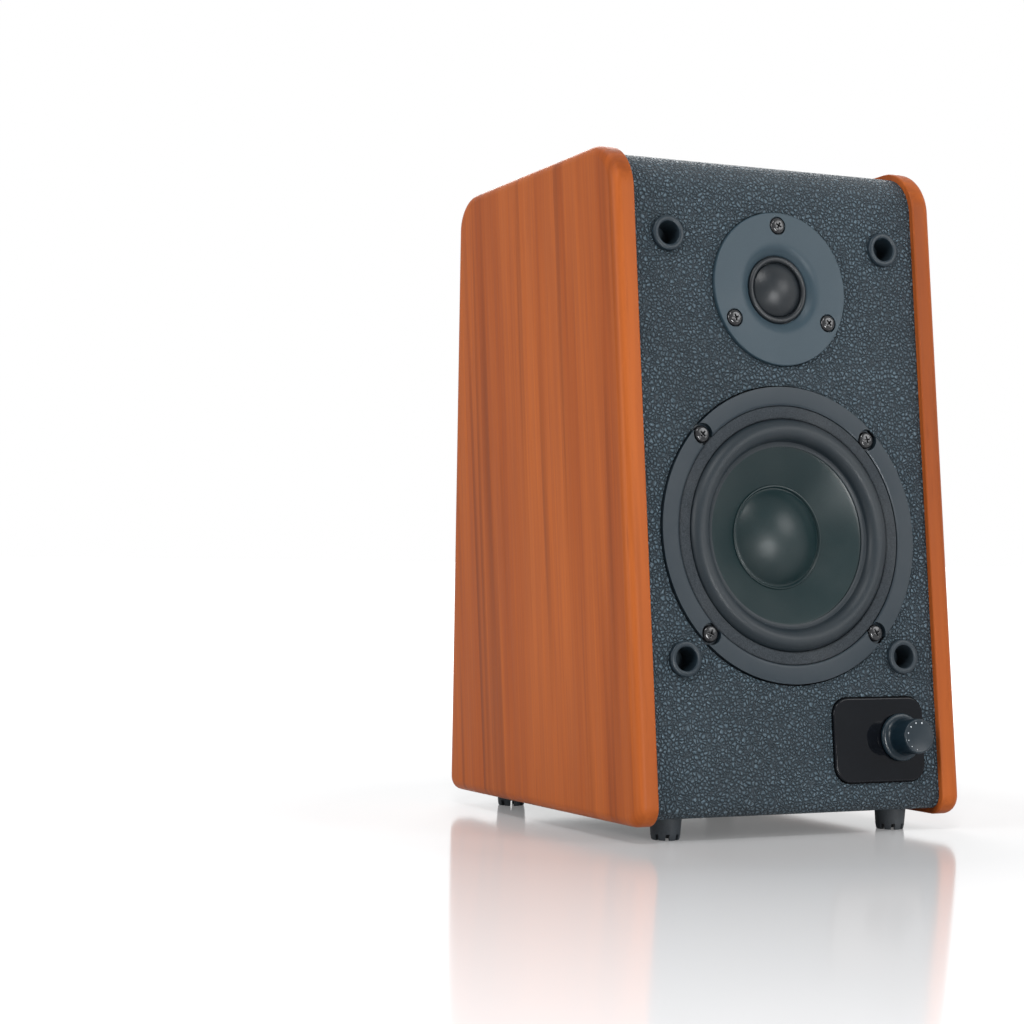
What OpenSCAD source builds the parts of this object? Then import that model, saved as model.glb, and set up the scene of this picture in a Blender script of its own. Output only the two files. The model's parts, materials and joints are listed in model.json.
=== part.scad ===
// Bookshelf loudspeaker: a leather-cloth box with a leaning front between two wooden side
// panels, a two-way driver pair, a volume control and a powered rear plate.
// Millimetres, +Z up. The front faces -Y and +X is on the right when seen from the front.
// The origin is the middle of the bounding box at the bottom of the rubber feet.

/* [Cabinet] */
// Overall width across both side panels
cabinet_w = 154; // [150:1:200]
// Height of a side panel along its front edge, feet not counted
cabinet_h = 271.5; // [266:0.5:340]
// Depth of a side panel at the bottom
cabinet_d = 162; // [140:1:220]
// How far the front leans back from upright, in degrees
baffle_tilt = 6.3; // [0:0.1:9]
// How far the top falls towards the rear, in degrees
top_slope = 4.6; // [0:0.1:6]
// Thickness of a wooden side panel
panel_t = 9.5; // [7:0.5:14]
// How far the side panels stand proud of the leather cloth
panel_proud = 2.5; // [1:0.25:4]
// Radius of the roundover on a side panel's outer edge
panel_round = 4.2; // [2:0.1:5]
// Corner radius of the side panels at the front top
front_top_r = 20; // [12:0.5:24]
// Corner radius of the side panels at the rear top
rear_top_r = 15; // [8:0.5:20]
// Corner radius of the side panels at the front bottom
front_low_r = 8; // [6:0.5:12]
// Corner radius of the side panels at the rear bottom
rear_low_r = 6; // [6:0.5:10]

/* [Boards] */
// Thickness of the front board that carries the drivers
baffle_t = 12; // [10:0.5:16]
// Thickness of the top, bottom and rear boards
board_t = 9; // [6:0.5:13]
// Thickness of the leather cloth
cloth_t = 1; // [0.6:0.1:1.4]

/* [Woofer] */
// Outer diameter of the woofer's trim ring
woofer_d = 120; // [100:1:126]
// Distance from a woofer screw's centre to the trim ring's edge
woofer_screw_edge = 4; // [3.7:0.1:4.5]
// Width of the rubber surround between the gasket and the cone
surround_w = 10.5; // [9:0.1:12]
// Diameter of the raised ring around the dust cap
cap_ring_d = 42.4; // [38:0.2:46]
// Diameter of the voice coil's former, outside
coil_d = 25.6; // [22:0.2:26]
// How far the cone can move each way from rest
cone_travel = 3; // [1:0.25:4]
// Diameter of the woofer's magnet
magnet_d = 70; // [60:1:80]
// Free space on each side of a voice coil
coil_gap = 0.35; // [0.3:0.05:0.5]

/* [Tweeter] */
// Outer diameter of the tweeter's faceplate
tweeter_d = 63; // [58:0.5:68]
// Distance from a tweeter screw's centre to the faceplate's edge
tweeter_screw_edge = 5.5; // [4.5:0.1:6]
// Diameter of the tweeter's dome
dome_d = 22.4; // [21:0.1:24]
// How far the dome can move each way from rest
dome_travel = 0.3; // [0.1:0.05:0.5]
// Gap between the tweeter's faceplate and the woofer's ring
driver_gap = 8.6; // [4:0.2:14]
// Distance from the tweeter's centre up to the side panels' top edge, along the front
tweeter_drop = 58.6; // [50:0.2:70]

/* [Grille sockets] */
// Bore of a socket, which takes the grille's peg
socket_bore = 9.5; // [6:0.1:10.5]
// Depth of that bore
socket_depth = 11; // [8:0.5:12]
// Diameter of the socket's flange
socket_flange_d = 14.3; // [13.4:0.1:16]
// Distance from a socket's centre to the side panel
socket_edge = 15.5; // [12:0.5:18]

/* [Volume control] */
// Width of the glossy plate behind the knob
volume_plate_w = 44; // [38:0.5:48]
// Height of that plate
volume_plate_h = 34; // [28:0.5:36]
// Distance from the knob's axis to the side panel
knob_edge = 19.2; // [17:0.2:24]
// Height of the knob's axis above the panels' bottom, along the front
knob_height = 32.3; // [29:0.1:34]
// Diameter of the knob's face
knob_face_d = 14.2; // [13:0.1:17]
// Diameter of the knob's foot flange
knob_foot_d = 19.4; // [18:0.1:22]
// How far the knob stands out from the leather cloth
knob_reach = 14.5; // [12:0.5:20]
// Diameter of the control's shaft
shaft_d = 6; // [4:0.1:6.4]

/* [Feet] */
// Clear height under the side panels
foot_clear = 6.5; // [4:0.5:10]
// Diameter of a rubber foot at its top
foot_d = 12.8; // [10:0.2:18]

/* [Rear] */
// Width of the amplifier's rear plate
amp_plate_w = 110; // [100:1:120]
// Height of the amplifier's rear plate
amp_plate_h = 150; // [140:1:158]
// Inner diameter of the bass port
port_bore = 36; // [26:0.5:40]
// Length of the bass port behind its flange
port_len = 78; // [50:1:90]
// Outer diameter of a phono socket's barrel
phono_d = 8.3; // [8.1:0.05:8.5]
// Length of a phono socket's barrel
phono_len = 8; // [7:0.5:10]

/* [Hidden] */
$fn = 64;
eps = 0.02;                                 // small step past a face that a cut goes through
big = 60;                                   // reach of a region past the cabinet
fit = 0.05;                                 // radial clearance of parts that sit in each other

inner_w = cabinet_w - 2 * panel_t;          // width between the side panels
half_w = inner_w / 2;
base_z = foot_clear;                        // bottom of the side panels
cloth_z = base_z + panel_proud;             // bottom of the cloth-covered box
front_len = cabinet_h / cos(baffle_tilt);   // length of the slanted front

tweeter_r = tweeter_d / 2;
woofer_r = woofer_d / 2;
tweeter_v = front_len - tweeter_drop;       // heights measured along the slanted front
woofer_v = tweeter_v - tweeter_r - driver_gap - woofer_r;
socket_rise = 19.6;                         // top sockets above the tweeter's centre
socket_fall = 49.4;                         // low sockets below the woofer's centre
socket_top_v = tweeter_v + socket_rise;
socket_low_v = woofer_v - socket_fall;
socket_u = half_w - socket_edge;
knob_u = half_w - knob_edge;
knob_off_u = 9.8;                           // the knob sits right of the plate's middle
knob_off_v = 0.7;                           // and a little above it
plate_u = knob_u - knob_off_u;
plate_v = knob_height - knob_off_v;

plate_t = 2;                                // rear plate, volume plate above the board
jack_flange_t = 2;
knob_face_edge = 0.5;
knob_tip_y = (knob_height - knob_face_d / 2 + knob_face_edge) * sin(baffle_tilt)
    - knob_reach * cos(baffle_tilt);
rear_tip_y = cabinet_d - panel_proud + plate_t + jack_flange_t + phono_len;
front_y = -(knob_tip_y + rear_tip_y) / 2;   // centres the bounding box on the origin
rear_y = front_y + cabinet_d - panel_proud; // rear face of the cloth
top_z = base_z + cabinet_h - panel_proud / cos(top_slope);

wall_in = cloth_t + board_t;                // cloth and board together
baffle_in = cloth_t + baffle_t;
floor_z = cloth_z + wall_in;                // inside of the bottom board
back_in_y = rear_y - wall_in;               // inside of the rear board
cloth_r = [front_low_r, front_top_r, rear_top_r, rear_low_r] - [1, 1, 1, 1] * panel_proud;

// woofer, measured outwards from the cloth
seat_d = -3;                                // floor of the rebate in the front board
flange_t = 1.2;                             // pressed steel of the basket
flange_d = seat_d + flange_t;
rubber_t = 0.5;
ring_top_d = 1.1;
gasket_top_d = 0.7;
gasket_ro = woofer_r - 7.7;
gasket_ri = woofer_r - 12.9;
woofer_screw_at = woofer_r - woofer_screw_edge;
cone_r = gasket_ri - surround_w;
cone_power = 1.06;                          // above 1 the cone's side curves in
cap_ring_r = cap_ring_d / 2;
coil_r = coil_d / 2;
former_t = 0.3;
winding_t = 0.5;
cone_edge_d = flange_d - eps;
cone_neck_r = coil_r + fit;
cone_neck_d = -13.4;
ledge_d = -19.8;                            // where the spider is glued
ledge_ro = gasket_ri - 8.7;
ledge_ri = ledge_ro - 4.2;
tag_len = 12;
tag_x = 3.2;
tag_d = ledge_d - flange_t - 1.4;
basket_back_d = -26;
pole_t = 5;
magnet_t = 13;
gap_top_d = basket_back_d - flange_t;
magnet_top_d = gap_top_d - pole_t;
yoke_top_d = magnet_top_d - magnet_t;
woofer_hole_r = gasket_ri + 2.4;
screw_head_r = 3.5;
screw_r = 1.75;
notch_r = 4.4;
ring_floor_t = 0.6;

// tweeter, measured outwards from the cloth
plate_top_d = 1.4;
plate_seat_d = -2.6;
dome_r = dome_d / 2;
dome_base_d = -1.4;
dome_h = 4.4;
mouth_r = dome_r + 6;
throat_r = dome_r + 2.9;
suspension_r = throat_r + 3;
dome_coil_r = dome_r - 1.1;
dome_gap_d = plate_seat_d - 0.8;
dome_pole_t = 3;
dome_magnet_t = 8;
dome_plate_r = 21.5;
tweeter_screw_at = tweeter_r - tweeter_screw_edge;
tweeter_hole_r = 22.6;
tweeter_screw_r = 1.5;
tweeter_head_r = 3.4;

// volume control, measured outwards from the cloth
volume_plate_r = 7;
volume_plate_top = 1.2;
pot_r = 8.2;
pot_depth = 9;
bush_r = shaft_d / 2 + 1;
bush_top = 4.2;
nut_across = 11;
nut_t = 2;
knob_foot_low = 1.6;
knob_body_r = knob_face_d / 2;
knob_flange_h = 1.6;
knob_cap_t = 2.2;
knob_hollow_r = nut_across / 2 / cos(30) + 0.35;
knob_hollow_top = volume_plate_top + nut_t + 1.6;
shaft_fit = 0.06;

socket_r = socket_flange_d / 2 - 1.1;
socket_flange_h = 2;
socket_top_r = 0.5;

// rear fittings
board_gap = 12;                             // rear plate to circuit board
pcb_t = 1.6;
pcb_y = rear_y - board_gap;
amp_plate_z = floor_z + 4 + amp_plate_h / 2;
amp_cut_w = amp_plate_w - 18;
amp_cut_h = amp_plate_h - 18;
pcb_w = amp_cut_w - 4;
pcb_h = 78;
pcb_z = amp_plate_z + 24;
sink_w = 26;
sink_h = 44;
sink_x = -22;
core_w = 50;                                // transformer
core_h = 42;
core_t = 22;
core_leg = 9;
core_window_w = (core_w - 4 * core_leg) / 2;
core_y = rear_y - 78;
port_r = port_bore / 2;
port_flange_r = port_r + 8;
port_wall = 2;
rear_top = top_z - (rear_y - front_y) * tan(top_slope);
port_z = (amp_plate_z + amp_plate_h / 2 + rear_top) / 2;
jack_x = 14;
jack_pitch = 14;
phono_r = phono_d / 2;
jack_z = amp_plate_z + 42;
lever_z = amp_plate_z + 2;
lever_pitch = 15;
lever_w = 9;
wire_r = 1.6;
block_w = 38;
block_h = 30;
block_reach = 6;
lever_pivot_z = lever_z + 1.4;
lever_pivot_out = plate_t + 3.2;
lever_pin_r = 0.9;
lever_pin_len = 1.6;
lever_tab_out = plate_t + block_reach + 3.4;
rocker_z = amp_plate_z - 46;
rocker_x = -26;
rocker_w = 13;
rocker_h = 19;
rocker_throw = 18;
rocker_out = plate_t - 1;
rocker_pin_r = 1.2;
inlet_x = 24;
inlet_w = 15;
inlet_h = 9.4;
foot_x = half_w - 13.5;
foot_front_y = front_y + 16;
foot_rear_y = rear_y - 13.5;
foot_h = cloth_z;
foot_screw_r = 1.6;

CLOTH = "#46525c";
PLASTIC = "#50585f";
CONE = "#2f3b3e";
WOOD = "#b5673a";
MDF = "#b79a70";
STEEL = "#8d9296";
FERRITE = "#34363a";
BLACK = "#1c1f22";

// ---- lines and outlines of the cabinet's side view, as [y, z] ----

// y of the front at height z, moved outwards by o
function front_at(z, o) = front_y + (z - base_z) * tan(baffle_tilt) - o / cos(baffle_tilt);

// z of the top at depth y, moved outwards by o
function top_at(y, o) = top_z - (y - front_y) * tan(top_slope) + o / cos(top_slope);

// height where the front moved by of meets the top moved by ot
function meet_z(of, ot) = (top_z + base_z * tan(baffle_tilt) * tan(top_slope)
    + of * tan(top_slope) / cos(baffle_tilt) + ot / cos(top_slope))
    / (1 + tan(baffle_tilt) * tan(top_slope));

// the four corners of the side view, moved outwards by o: front low, front top, rear top, rear low
function corners(o) = [
    [front_at(cloth_z - o, o), cloth_z - o],
    [front_at(meet_z(o, o), o), meet_z(o, o)],
    [rear_y + o, top_at(rear_y + o, o)],
    [rear_y + o, cloth_z - o]
];

function unit(v) = v / norm(v);
function half_angle(a, b) = acos(a * b) / 2;

// points of the arc that rounds corner p, whose neighbours are a and b
function corner_arc(p, a, b, r) = let (
        ua = unit(a - p),
        ub = unit(b - p),
        h = half_angle(ua, ub),
        c = p + unit(ua + ub) * r / sin(h),
        from = p + ua * r / tan(h) - c,
        to = p + ub * r / tan(h) - c,
        start = atan2(from[1], from[0]),
        turn = (atan2(to[1], to[0]) - start + 540) % 360 - 180
    ) arc(c, r, start, start + turn, 10);

// rounded side view of the cabinet, moved outwards by o
module side_outline(o) {
    c = corners(o);
    polygon([for (i = [0:3])
        each corner_arc(c[i], c[(i + 3) % 4], c[(i + 1) % 4], max(cloth_r[i] + o, 0.4))]);
}

// turns a side view into a solid that runs along X
module across(x, w) {
    translate([x, 0, 0]) rotate([90, 0, 90]) linear_extrude(w) children();
}

// places a child on the slanted front: u to the right, v up the slope, d outwards
module on_front(u = 0, v = 0, d = 0) {
    translate([0, front_y, base_z]) rotate([90 - baffle_tilt, 0, 0])
        translate([u, v, d]) children();
}

// places a child on the rear face: its Y axis points up and its Z axis out of the cabinet
module on_rear(x = 0, z = 0, out = 0) {
    translate([x, rear_y + out, z]) rotate([90, 0, 180]) children();
}

function front_point(u, v, d) = [
    u,
    front_y + v * sin(baffle_tilt) - d * cos(baffle_tilt),
    base_z + v * cos(baffle_tilt) + d * sin(baffle_tilt)
];

// points of an arc, from angle a0 to a1
function arc(c, r, a0, a1, steps = 12) =
    [for (i = [0:steps]) let (a = a0 + (a1 - a0) * i / steps) c + r * [cos(a), sin(a)]];

// tube between two heights
module ring(ro, ri, low, high) {
    difference() {
        translate([0, 0, low]) cylinder(r = ro, h = high - low);
        translate([0, 0, low - 1]) cylinder(r = ri, h = high - low + 2);
    }
}

module disc(r, low, high) {
    translate([0, 0, low]) cylinder(r = r, h = high - low);
}

// box centred on x and y between two heights
module slab(w, h, low, high) {
    translate([-w / 2, -h / 2, low]) cube([w, h, high - low]);
}

// plate with round corners between two heights
module round_slab(w, h, r, low, high) {
    slab(w - 2 * r, h, low, high);
    slab(w, h - 2 * r, low, high);
    for (x = [-1, 1], y = [-1, 1])
        translate([x * (w / 2 - r), y * (h / 2 - r), 0]) disc(r, low, high);
}

// pan-head screw with a cross recess, its head sitting at z = 0
module pan_screw(head_r, shank_r, len) {
    difference() {
        rotate_extrude() polygon(concat([[0, -len], [shank_r, -len + shank_r], [shank_r, 0],
            [head_r, 0]], arc([head_r - 1.4, 0.6], 1.4, 0, 90, 5), [[0, 2]]));
        for (a = [0, 90])
            rotate(a) slab(head_r, 0.8, 1, 3);
    }
}

// ---- cabinet ----

module side_panel(side) {
    steps = 5;
    color(WOOD)
        translate([side * half_w, 0, 0]) mirror([side < 0 ? 1 : 0, 0, 0]) hull() {
            across(0, panel_t - panel_round) side_outline(panel_proud);
            for (i = [1:steps]) let (a = 90 * i / steps)
                across(panel_t - panel_round, panel_round * sin(a))
                    side_outline(panel_proud - panel_round * (1 - cos(a)));
        }
}

module left_side_panel() side_panel(-1);
module right_side_panel() side_panel(1);

module front_region() {
    z_top = meet_z(0, 0) + big;
    polygon([
        [front_at(-big, big), -big], [front_at(z_top, big), z_top],
        [front_at(z_top, -baffle_in), z_top], [front_at(-big, -baffle_in), -big]
    ]);
}

module top_region() {
    z = meet_z(-baffle_in, -wall_in);
    polygon([
        [front_at(z, -baffle_in), z], [front_at(z + big, -baffle_in), z + big],
        [rear_y + big, z + big], [rear_y + big, top_at(rear_y + big, -wall_in)]
    ]);
}

module bottom_region() {
    polygon([
        [front_at(floor_z, -baffle_in), floor_z], [rear_y + big, floor_z],
        [rear_y + big, -big], [front_at(-big, -baffle_in), -big]
    ]);
}

module rear_region() {
    polygon([
        [back_in_y, floor_z], [back_in_y, top_at(back_in_y, -wall_in)],
        [rear_y + big, top_at(rear_y + big, -wall_in)], [rear_y + big, floor_z]
    ]);
}

// a board: the part of the box under the cloth that lies in a region
module board() {
    color(MDF) across(-half_w, inner_w) intersection() {
        side_outline(-cloth_t);
        children();
    }
}

// cut-outs for the drivers, in the cloth and in the front board
module driver_rebates() {
    on_front(0, woofer_v) disc(woofer_r + 0.6, seat_d, big);
    on_front(0, tweeter_v) disc(tweeter_r + 0.3, plate_seat_d, big);
}

module socket_places() {
    for (u = [-1, 1], v = [socket_low_v, socket_top_v])
        on_front(u * socket_u, v) children();
}

module woofer_screw_places() {
    for (a = [45:90:315])
        on_front(0, woofer_v) rotate(a) translate([woofer_screw_at, 0, 0]) children();
}

module tweeter_screw_places() {
    for (a = [90:120:330])
        on_front(0, tweeter_v) rotate(a) translate([tweeter_screw_at, 0, 0]) children();
}

module foot_places() {
    for (x = [-1, 1], y = [foot_front_y, foot_rear_y])
        translate([x * foot_x, y, 0]) children();
}

module amp_screw_places() {
    for (x = [-1, 1], z = [-1, 0, 1])
        on_rear(x * (amp_plate_w / 2 - 4.5), amp_plate_z + z * (amp_plate_h / 2 - 4.5), plate_t)
            children();
}

module phono_places() {
    for (x = [-1, 1], z = [-1, 1])
        on_rear(jack_x + x * jack_pitch / 2, jack_z + z * jack_pitch / 2) children();
}

module baffle_board() {
    difference() {
        board() front_region();
        driver_rebates();
        on_front(0, woofer_v) disc(woofer_hole_r, -big, big);
        on_front(0, tweeter_v) disc(tweeter_hole_r, -big, big);
        socket_places() disc(socket_r + fit, -big, big);
        on_front(knob_u, knob_height) disc(pot_r + 0.6, -big, big);
        woofer_screw_places() disc(screw_r + fit, seat_d - 8, big);
        tweeter_screw_places() disc(tweeter_screw_r + fit, plate_seat_d - 7, big);
    }
}

module top_board() board() top_region();

module bottom_board() {
    difference() {
        board() bottom_region();
        foot_places() disc(foot_screw_r + fit, -1, foot_h + cloth_t + board_t - 1.5);
    }
}

module rear_cuts() {
    on_rear(0, amp_plate_z) slab(amp_cut_w, amp_cut_h, -big, big);
    on_rear(0, port_z) disc(port_r + port_wall + fit, -big, big);
    amp_screw_places() disc(screw_r + fit, -plate_t - cloth_t - board_t + 1.5, big);
}

module rear_board() {
    difference() {
        board() rear_region();
        rear_cuts();
    }
}

module leatherette_wrap() {
    color(CLOTH) difference() {
        across(-half_w, inner_w) difference() {
            side_outline(0);
            side_outline(-cloth_t);
        }
        driver_rebates();
        socket_places() disc(socket_r + fit, -cloth_t - 1, big);
        on_front(plate_u, plate_v) round_slab(volume_plate_w + 1, volume_plate_h + 1,
            volume_plate_r + 0.5, -cloth_t - 1, big);
        foot_places() disc(foot_screw_r + fit, -1, foot_h + cloth_t + 1);
        rear_cuts();
    }
}

// wadding glued under the top board
module damping_pad() {
    pad_t = 12;
    y0 = front_at(meet_z(-baffle_in, -wall_in), -baffle_in) + 26;
    y1 = back_in_y - 2;
    color("#d8d8d0") across(-half_w + 2, inner_w - 4) polygon([
        [y0, top_at(y0, -wall_in)], [y1, top_at(y1, -wall_in)],
        [y1, top_at(y1, -wall_in) - pad_t], [y0, top_at(y0, -wall_in) - pad_t]
    ]);
}

// ---- tweeter ----

module tweeter_faceplate() {
    chamfer = 0.5;
    color(PLASTIC) difference() {
        on_front(0, tweeter_v) rotate_extrude() polygon([
            [suspension_r + 0.1, plate_seat_d], [tweeter_r, plate_seat_d],
            [tweeter_r, plate_top_d - chamfer], [tweeter_r - chamfer, plate_top_d],
            [mouth_r, plate_top_d], [mouth_r - 0.4, plate_top_d - 0.4],
            [throat_r + 0.6, dome_base_d + 0.9], [throat_r, dome_base_d + 0.5],
            [throat_r, plate_seat_d + 0.8], [suspension_r + 0.1, plate_seat_d + 0.8]
        ]);
        tweeter_screw_places() {
            disc(tweeter_screw_r + fit, plate_seat_d - 1, big);
            disc(tweeter_head_r + 0.4, plate_top_d - 1.2, big);
        }
    }
}

// soft half roll around the dome, clamped under the faceplate
module tweeter_surround() {
    t = 0.3;
    mid = (dome_r + throat_r) / 2;
    roll = (throat_r - dome_r) / 2 - 0.1;
    low = plate_seat_d + 0.4;
    color(CONE) on_front(0, tweeter_v) {
        ring(suspension_r, throat_r - 0.3, plate_seat_d, low);
        rotate_extrude() polygon(concat(
            [[throat_r, low], [throat_r, dome_base_d]],
            arc([mid, dome_base_d], roll, 0, 180), [[dome_r + 0.05, dome_base_d]],
            [[dome_r + 0.05, dome_base_d - t]], arc([mid, dome_base_d], roll - t, 180, 0),
            [[throat_r - t, dome_base_d - t], [throat_r - t, low]]
        ));
    }
}

// radius of a spherical cap from its base radius and its height
function cap_radius(r, h) = (r * r + h * h) / (2 * h);

// half section of a domed shell with its base at height d
function dome_section(r, h, t, d) = let (
        big_r = cap_radius(r, h),
        a = acos((big_r - h) / big_r)
    ) concat(
        arc([0, d + h - big_r], big_r, 90, 90 - a),
        [[r, d - t]],
        [for (p = arc([0, d + h - big_r], big_r - t, 90 - a, 90)) [p[0], max(p[1], d - t)]]
    );

module tweeter_dome() {
    color(CONE) on_front(0, tweeter_v) rotate_extrude()
        polygon(dome_section(dome_r, dome_h, 0.3, dome_base_d));
}

module tweeter_voice_coil() {
    color("#b06a38") on_front(0, tweeter_v)
        ring(dome_coil_r, dome_coil_r - 0.5, dome_gap_d - dome_pole_t - dome_travel - 0.9,
            dome_base_d - 0.35);
}

module tweeter_front_plate() {
    color(STEEL) on_front(0, tweeter_v) {
        ring(dome_plate_r, dome_coil_r + coil_gap, dome_gap_d - dome_pole_t, dome_gap_d);
        ring(suspension_r + 2, throat_r + 0.4, dome_gap_d, plate_seat_d);
    }
}

module tweeter_magnet() {
    low = dome_gap_d - dome_pole_t - dome_magnet_t;
    color(FERRITE) on_front(0, tweeter_v)
        ring(dome_plate_r - 0.5, dome_coil_r + 1.6, low, low + dome_magnet_t);
}

module tweeter_yoke() {
    low = dome_gap_d - dome_pole_t - dome_magnet_t;
    color(STEEL) on_front(0, tweeter_v) {
        disc(dome_plate_r - 1, low - 3, low);
        disc(dome_coil_r - 0.5 - coil_gap, low - eps, dome_gap_d);
    }
}

module tweeter_screws() {
    color(BLACK) tweeter_screw_places() translate([0, 0, plate_top_d - 1.2])
        pan_screw(tweeter_head_r, tweeter_screw_r, 9);
}

// ---- woofer ----

// height of the cone's front face at radius r
function cone_d_at(r) = cone_edge_d
    + (cone_neck_d - cone_edge_d) * pow((cone_r - r) / (cone_r - cone_neck_r), cone_power);

module woofer_trim_ring() {
    chamfer = 0.5;
    color(PLASTIC) difference() {
        on_front(0, woofer_v) rotate_extrude() polygon([
            [gasket_ro + 0.15, flange_d], [woofer_r, flange_d],
            [woofer_r, ring_top_d - chamfer], [woofer_r - chamfer, ring_top_d],
            [gasket_ro + 0.15 + chamfer, ring_top_d], [gasket_ro + 0.15, ring_top_d - chamfer]
        ]);
        woofer_screw_places() {
            disc(notch_r, flange_d + ring_floor_t, big);
            disc(screw_r + fit, flange_d - 1, big);
        }
    }
}

module woofer_gasket() {
    color("#3c4247") on_front(0, woofer_v) rotate_extrude() polygon([
        [gasket_ri, flange_d + rubber_t], [gasket_ro, flange_d + rubber_t],
        [gasket_ro, gasket_top_d - 0.3], [gasket_ro - 0.3, gasket_top_d],
        [gasket_ri + 0.3, gasket_top_d], [gasket_ri, gasket_top_d - 0.3]
    ]);
}

module woofer_basket() {
    wall = 1.4;
    color(STEEL) difference() {
        on_front(0, woofer_v) rotate_extrude() polygon([
            [gasket_ri + 0.1, flange_d], [woofer_r - 1.5, flange_d],
            [woofer_r - 1.5, seat_d], [gasket_ri + wall + 0.3, seat_d],
            [gasket_ri + wall, seat_d - 1.5], [ledge_ro + wall, ledge_d - flange_t],
            [ledge_ri + 1, ledge_d - flange_t], [ledge_ri - 0.6, gap_top_d],
            [coil_r + 2.4, gap_top_d], [coil_r + 2.4, basket_back_d],
            [ledge_ri - 1.8, basket_back_d], [ledge_ri - 0.4, ledge_d], [ledge_ro, ledge_d],
            [gasket_ri, seat_d - 1.6]
        ]);
        for (a = [45:90:315])
            on_front(0, woofer_v) rotate(a) translate([gasket_ri, 0, 0])
                slab(24, 34, ledge_d + 3.5, seat_d - 4);
        woofer_screw_places() disc(screw_r + fit, seat_d - 1, big);
    }
}

// rubber half roll between the basket and the cone
module woofer_surround() {
    low = flange_d;
    inner = cone_r + 1.4;
    mid = (gasket_ri + inner) / 2;
    roll = (gasket_ri - inner) / 2;
    color(BLACK) on_front(0, woofer_v) rotate_extrude() polygon(concat(
        [[gasket_ro, low], [gasket_ro, low + rubber_t], [gasket_ri, low + rubber_t]],
        arc([mid, low + rubber_t], roll, 0, 180, 16),
        [[cone_r - 0.6, low + rubber_t], [cone_r - 0.6, low]],
        arc([mid, low + rubber_t - 0.02], roll - rubber_t, 180, 0, 16),
        [[gasket_ri - rubber_t, low]]
    ));
}

module woofer_cone() {
    paper = 0.7;
    radii = [for (i = [0:8]) cone_r + (cone_neck_r - cone_r) * i / 8];
    color(CONE) on_front(0, woofer_v) rotate_extrude() polygon(concat(
        [[cone_r + 1.6, cone_edge_d - paper], [cone_r + 1.6, cone_edge_d]],
        [for (r = radii) [r, cone_d_at(r)]],
        [[cone_neck_r, cone_neck_d - 2.6], [cone_neck_r + paper, cone_neck_d - 2.6]],
        [for (i = [8:-1:0]) [radii[i] + 0.3, cone_d_at(radii[i]) - paper]]
    ));
}

module woofer_dust_cap() {
    cap_r = cap_ring_r - 1.5;
    t = 0.5;
    h = 6.4;
    base_d = cone_d_at(cap_r) + 0.35;
    big_r = cap_radius(cap_r, h);
    a = acos((big_r - h) / big_r);
    color(CONE) on_front(0, woofer_v) rotate_extrude() polygon(concat(
        arc([0, base_d + h - big_r], big_r, 90, 90 - a),
        [
            [cap_r + 0.4, cone_d_at(cap_r + 0.4) + 0.3],
            [cap_ring_r - 0.5, cone_d_at(cap_ring_r - 0.5) + 0.75],
            [cap_ring_r, cone_d_at(cap_ring_r) + 0.3], [cap_ring_r, cone_d_at(cap_ring_r) + eps],
            [cap_r, cone_d_at(cap_r) + eps]
        ],
        [for (p = arc([0, base_d + h - big_r], big_r - t, 90 - a, 90)) p]
    ));
}

module woofer_voice_coil() {
    low = yoke_top_d + cone_travel + 3.5;
    mid = gap_top_d - pole_t / 2;
    wind = pole_t / 2 + cone_travel;
    color("#b06a38") on_front(0, woofer_v) {
        ring(coil_r, coil_r - former_t, low, cone_neck_d + 0.6);
        ring(coil_r + winding_t, coil_r - former_t, max(mid - wind, low + 0.5), mid + wind);
    }
}

// corrugated cloth disc that centres the voice coil
module woofer_spider() {
    t = 0.4;
    r0 = coil_r + 0.15;
    r1 = ledge_ri;
    steps = 44;
    waves = 5.5;
    wave = [for (i = [0:steps]) let (k = i / steps)
        [r0 + (r1 - r0) * k, ledge_d + 0.9 * sin(360 * waves * k) * min(1, 6 * k, 6 * (1 - k))]];
    color("#a8843c") on_front(0, woofer_v) rotate_extrude() polygon(concat(
        [[r0, ledge_d]], [for (p = wave) p + [0, t]],
        [[ledge_ro - 0.2, ledge_d + t], [ledge_ro - 0.2, ledge_d]],
        [for (i = [steps:-1:1]) wave[i]]
    ));
}

module woofer_top_plate() {
    color(STEEL) on_front(0, woofer_v)
        ring(magnet_d / 2 - 2, coil_r + winding_t + coil_gap, magnet_top_d, gap_top_d);
}

module woofer_magnet() {
    color(FERRITE) on_front(0, woofer_v)
        ring(magnet_d / 2, coil_r + 4.5, yoke_top_d, magnet_top_d);
}

module woofer_yoke() {
    color(STEEL) on_front(0, woofer_v) {
        disc(magnet_d / 2 - 2.5, yoke_top_d - 5, yoke_top_d);
        disc(coil_r - former_t - coil_gap, yoke_top_d - eps, gap_top_d);
    }
}

// fibre strip with two tags, riveted under the basket's ledge
module woofer_terminals() {
    color("#8a5a32") on_front(0, woofer_v - ledge_ri - 1.2 - tag_len / 2)
        slab(15, tag_len, tag_d, tag_d + 1.4);
    color("#c9b37a") for (x = [-1, 1])
        on_front(x * tag_x, woofer_v - ledge_ri - tag_len + 1) slab(2.8, 0.6, tag_d - 5, tag_d);
}

module woofer_screws() {
    color(BLACK) woofer_screw_places() translate([0, 0, flange_d + ring_floor_t])
        pan_screw(screw_head_r, screw_r, 9);
}

// ---- grille sockets ----

module grille_socket() {
    r = socket_flange_d / 2;
    difference() {
        rotate_extrude() polygon(concat(
            [[0, -baffle_in + 1], [socket_r, -baffle_in + 1], [socket_r, 0], [r, 0]],
            arc([r - socket_top_r, socket_flange_h - socket_top_r], socket_top_r, 0, 90, 5),
            [[0, socket_flange_h]]
        ));
        disc(socket_bore / 2, socket_flange_h - socket_depth, big);
    }
}

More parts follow.
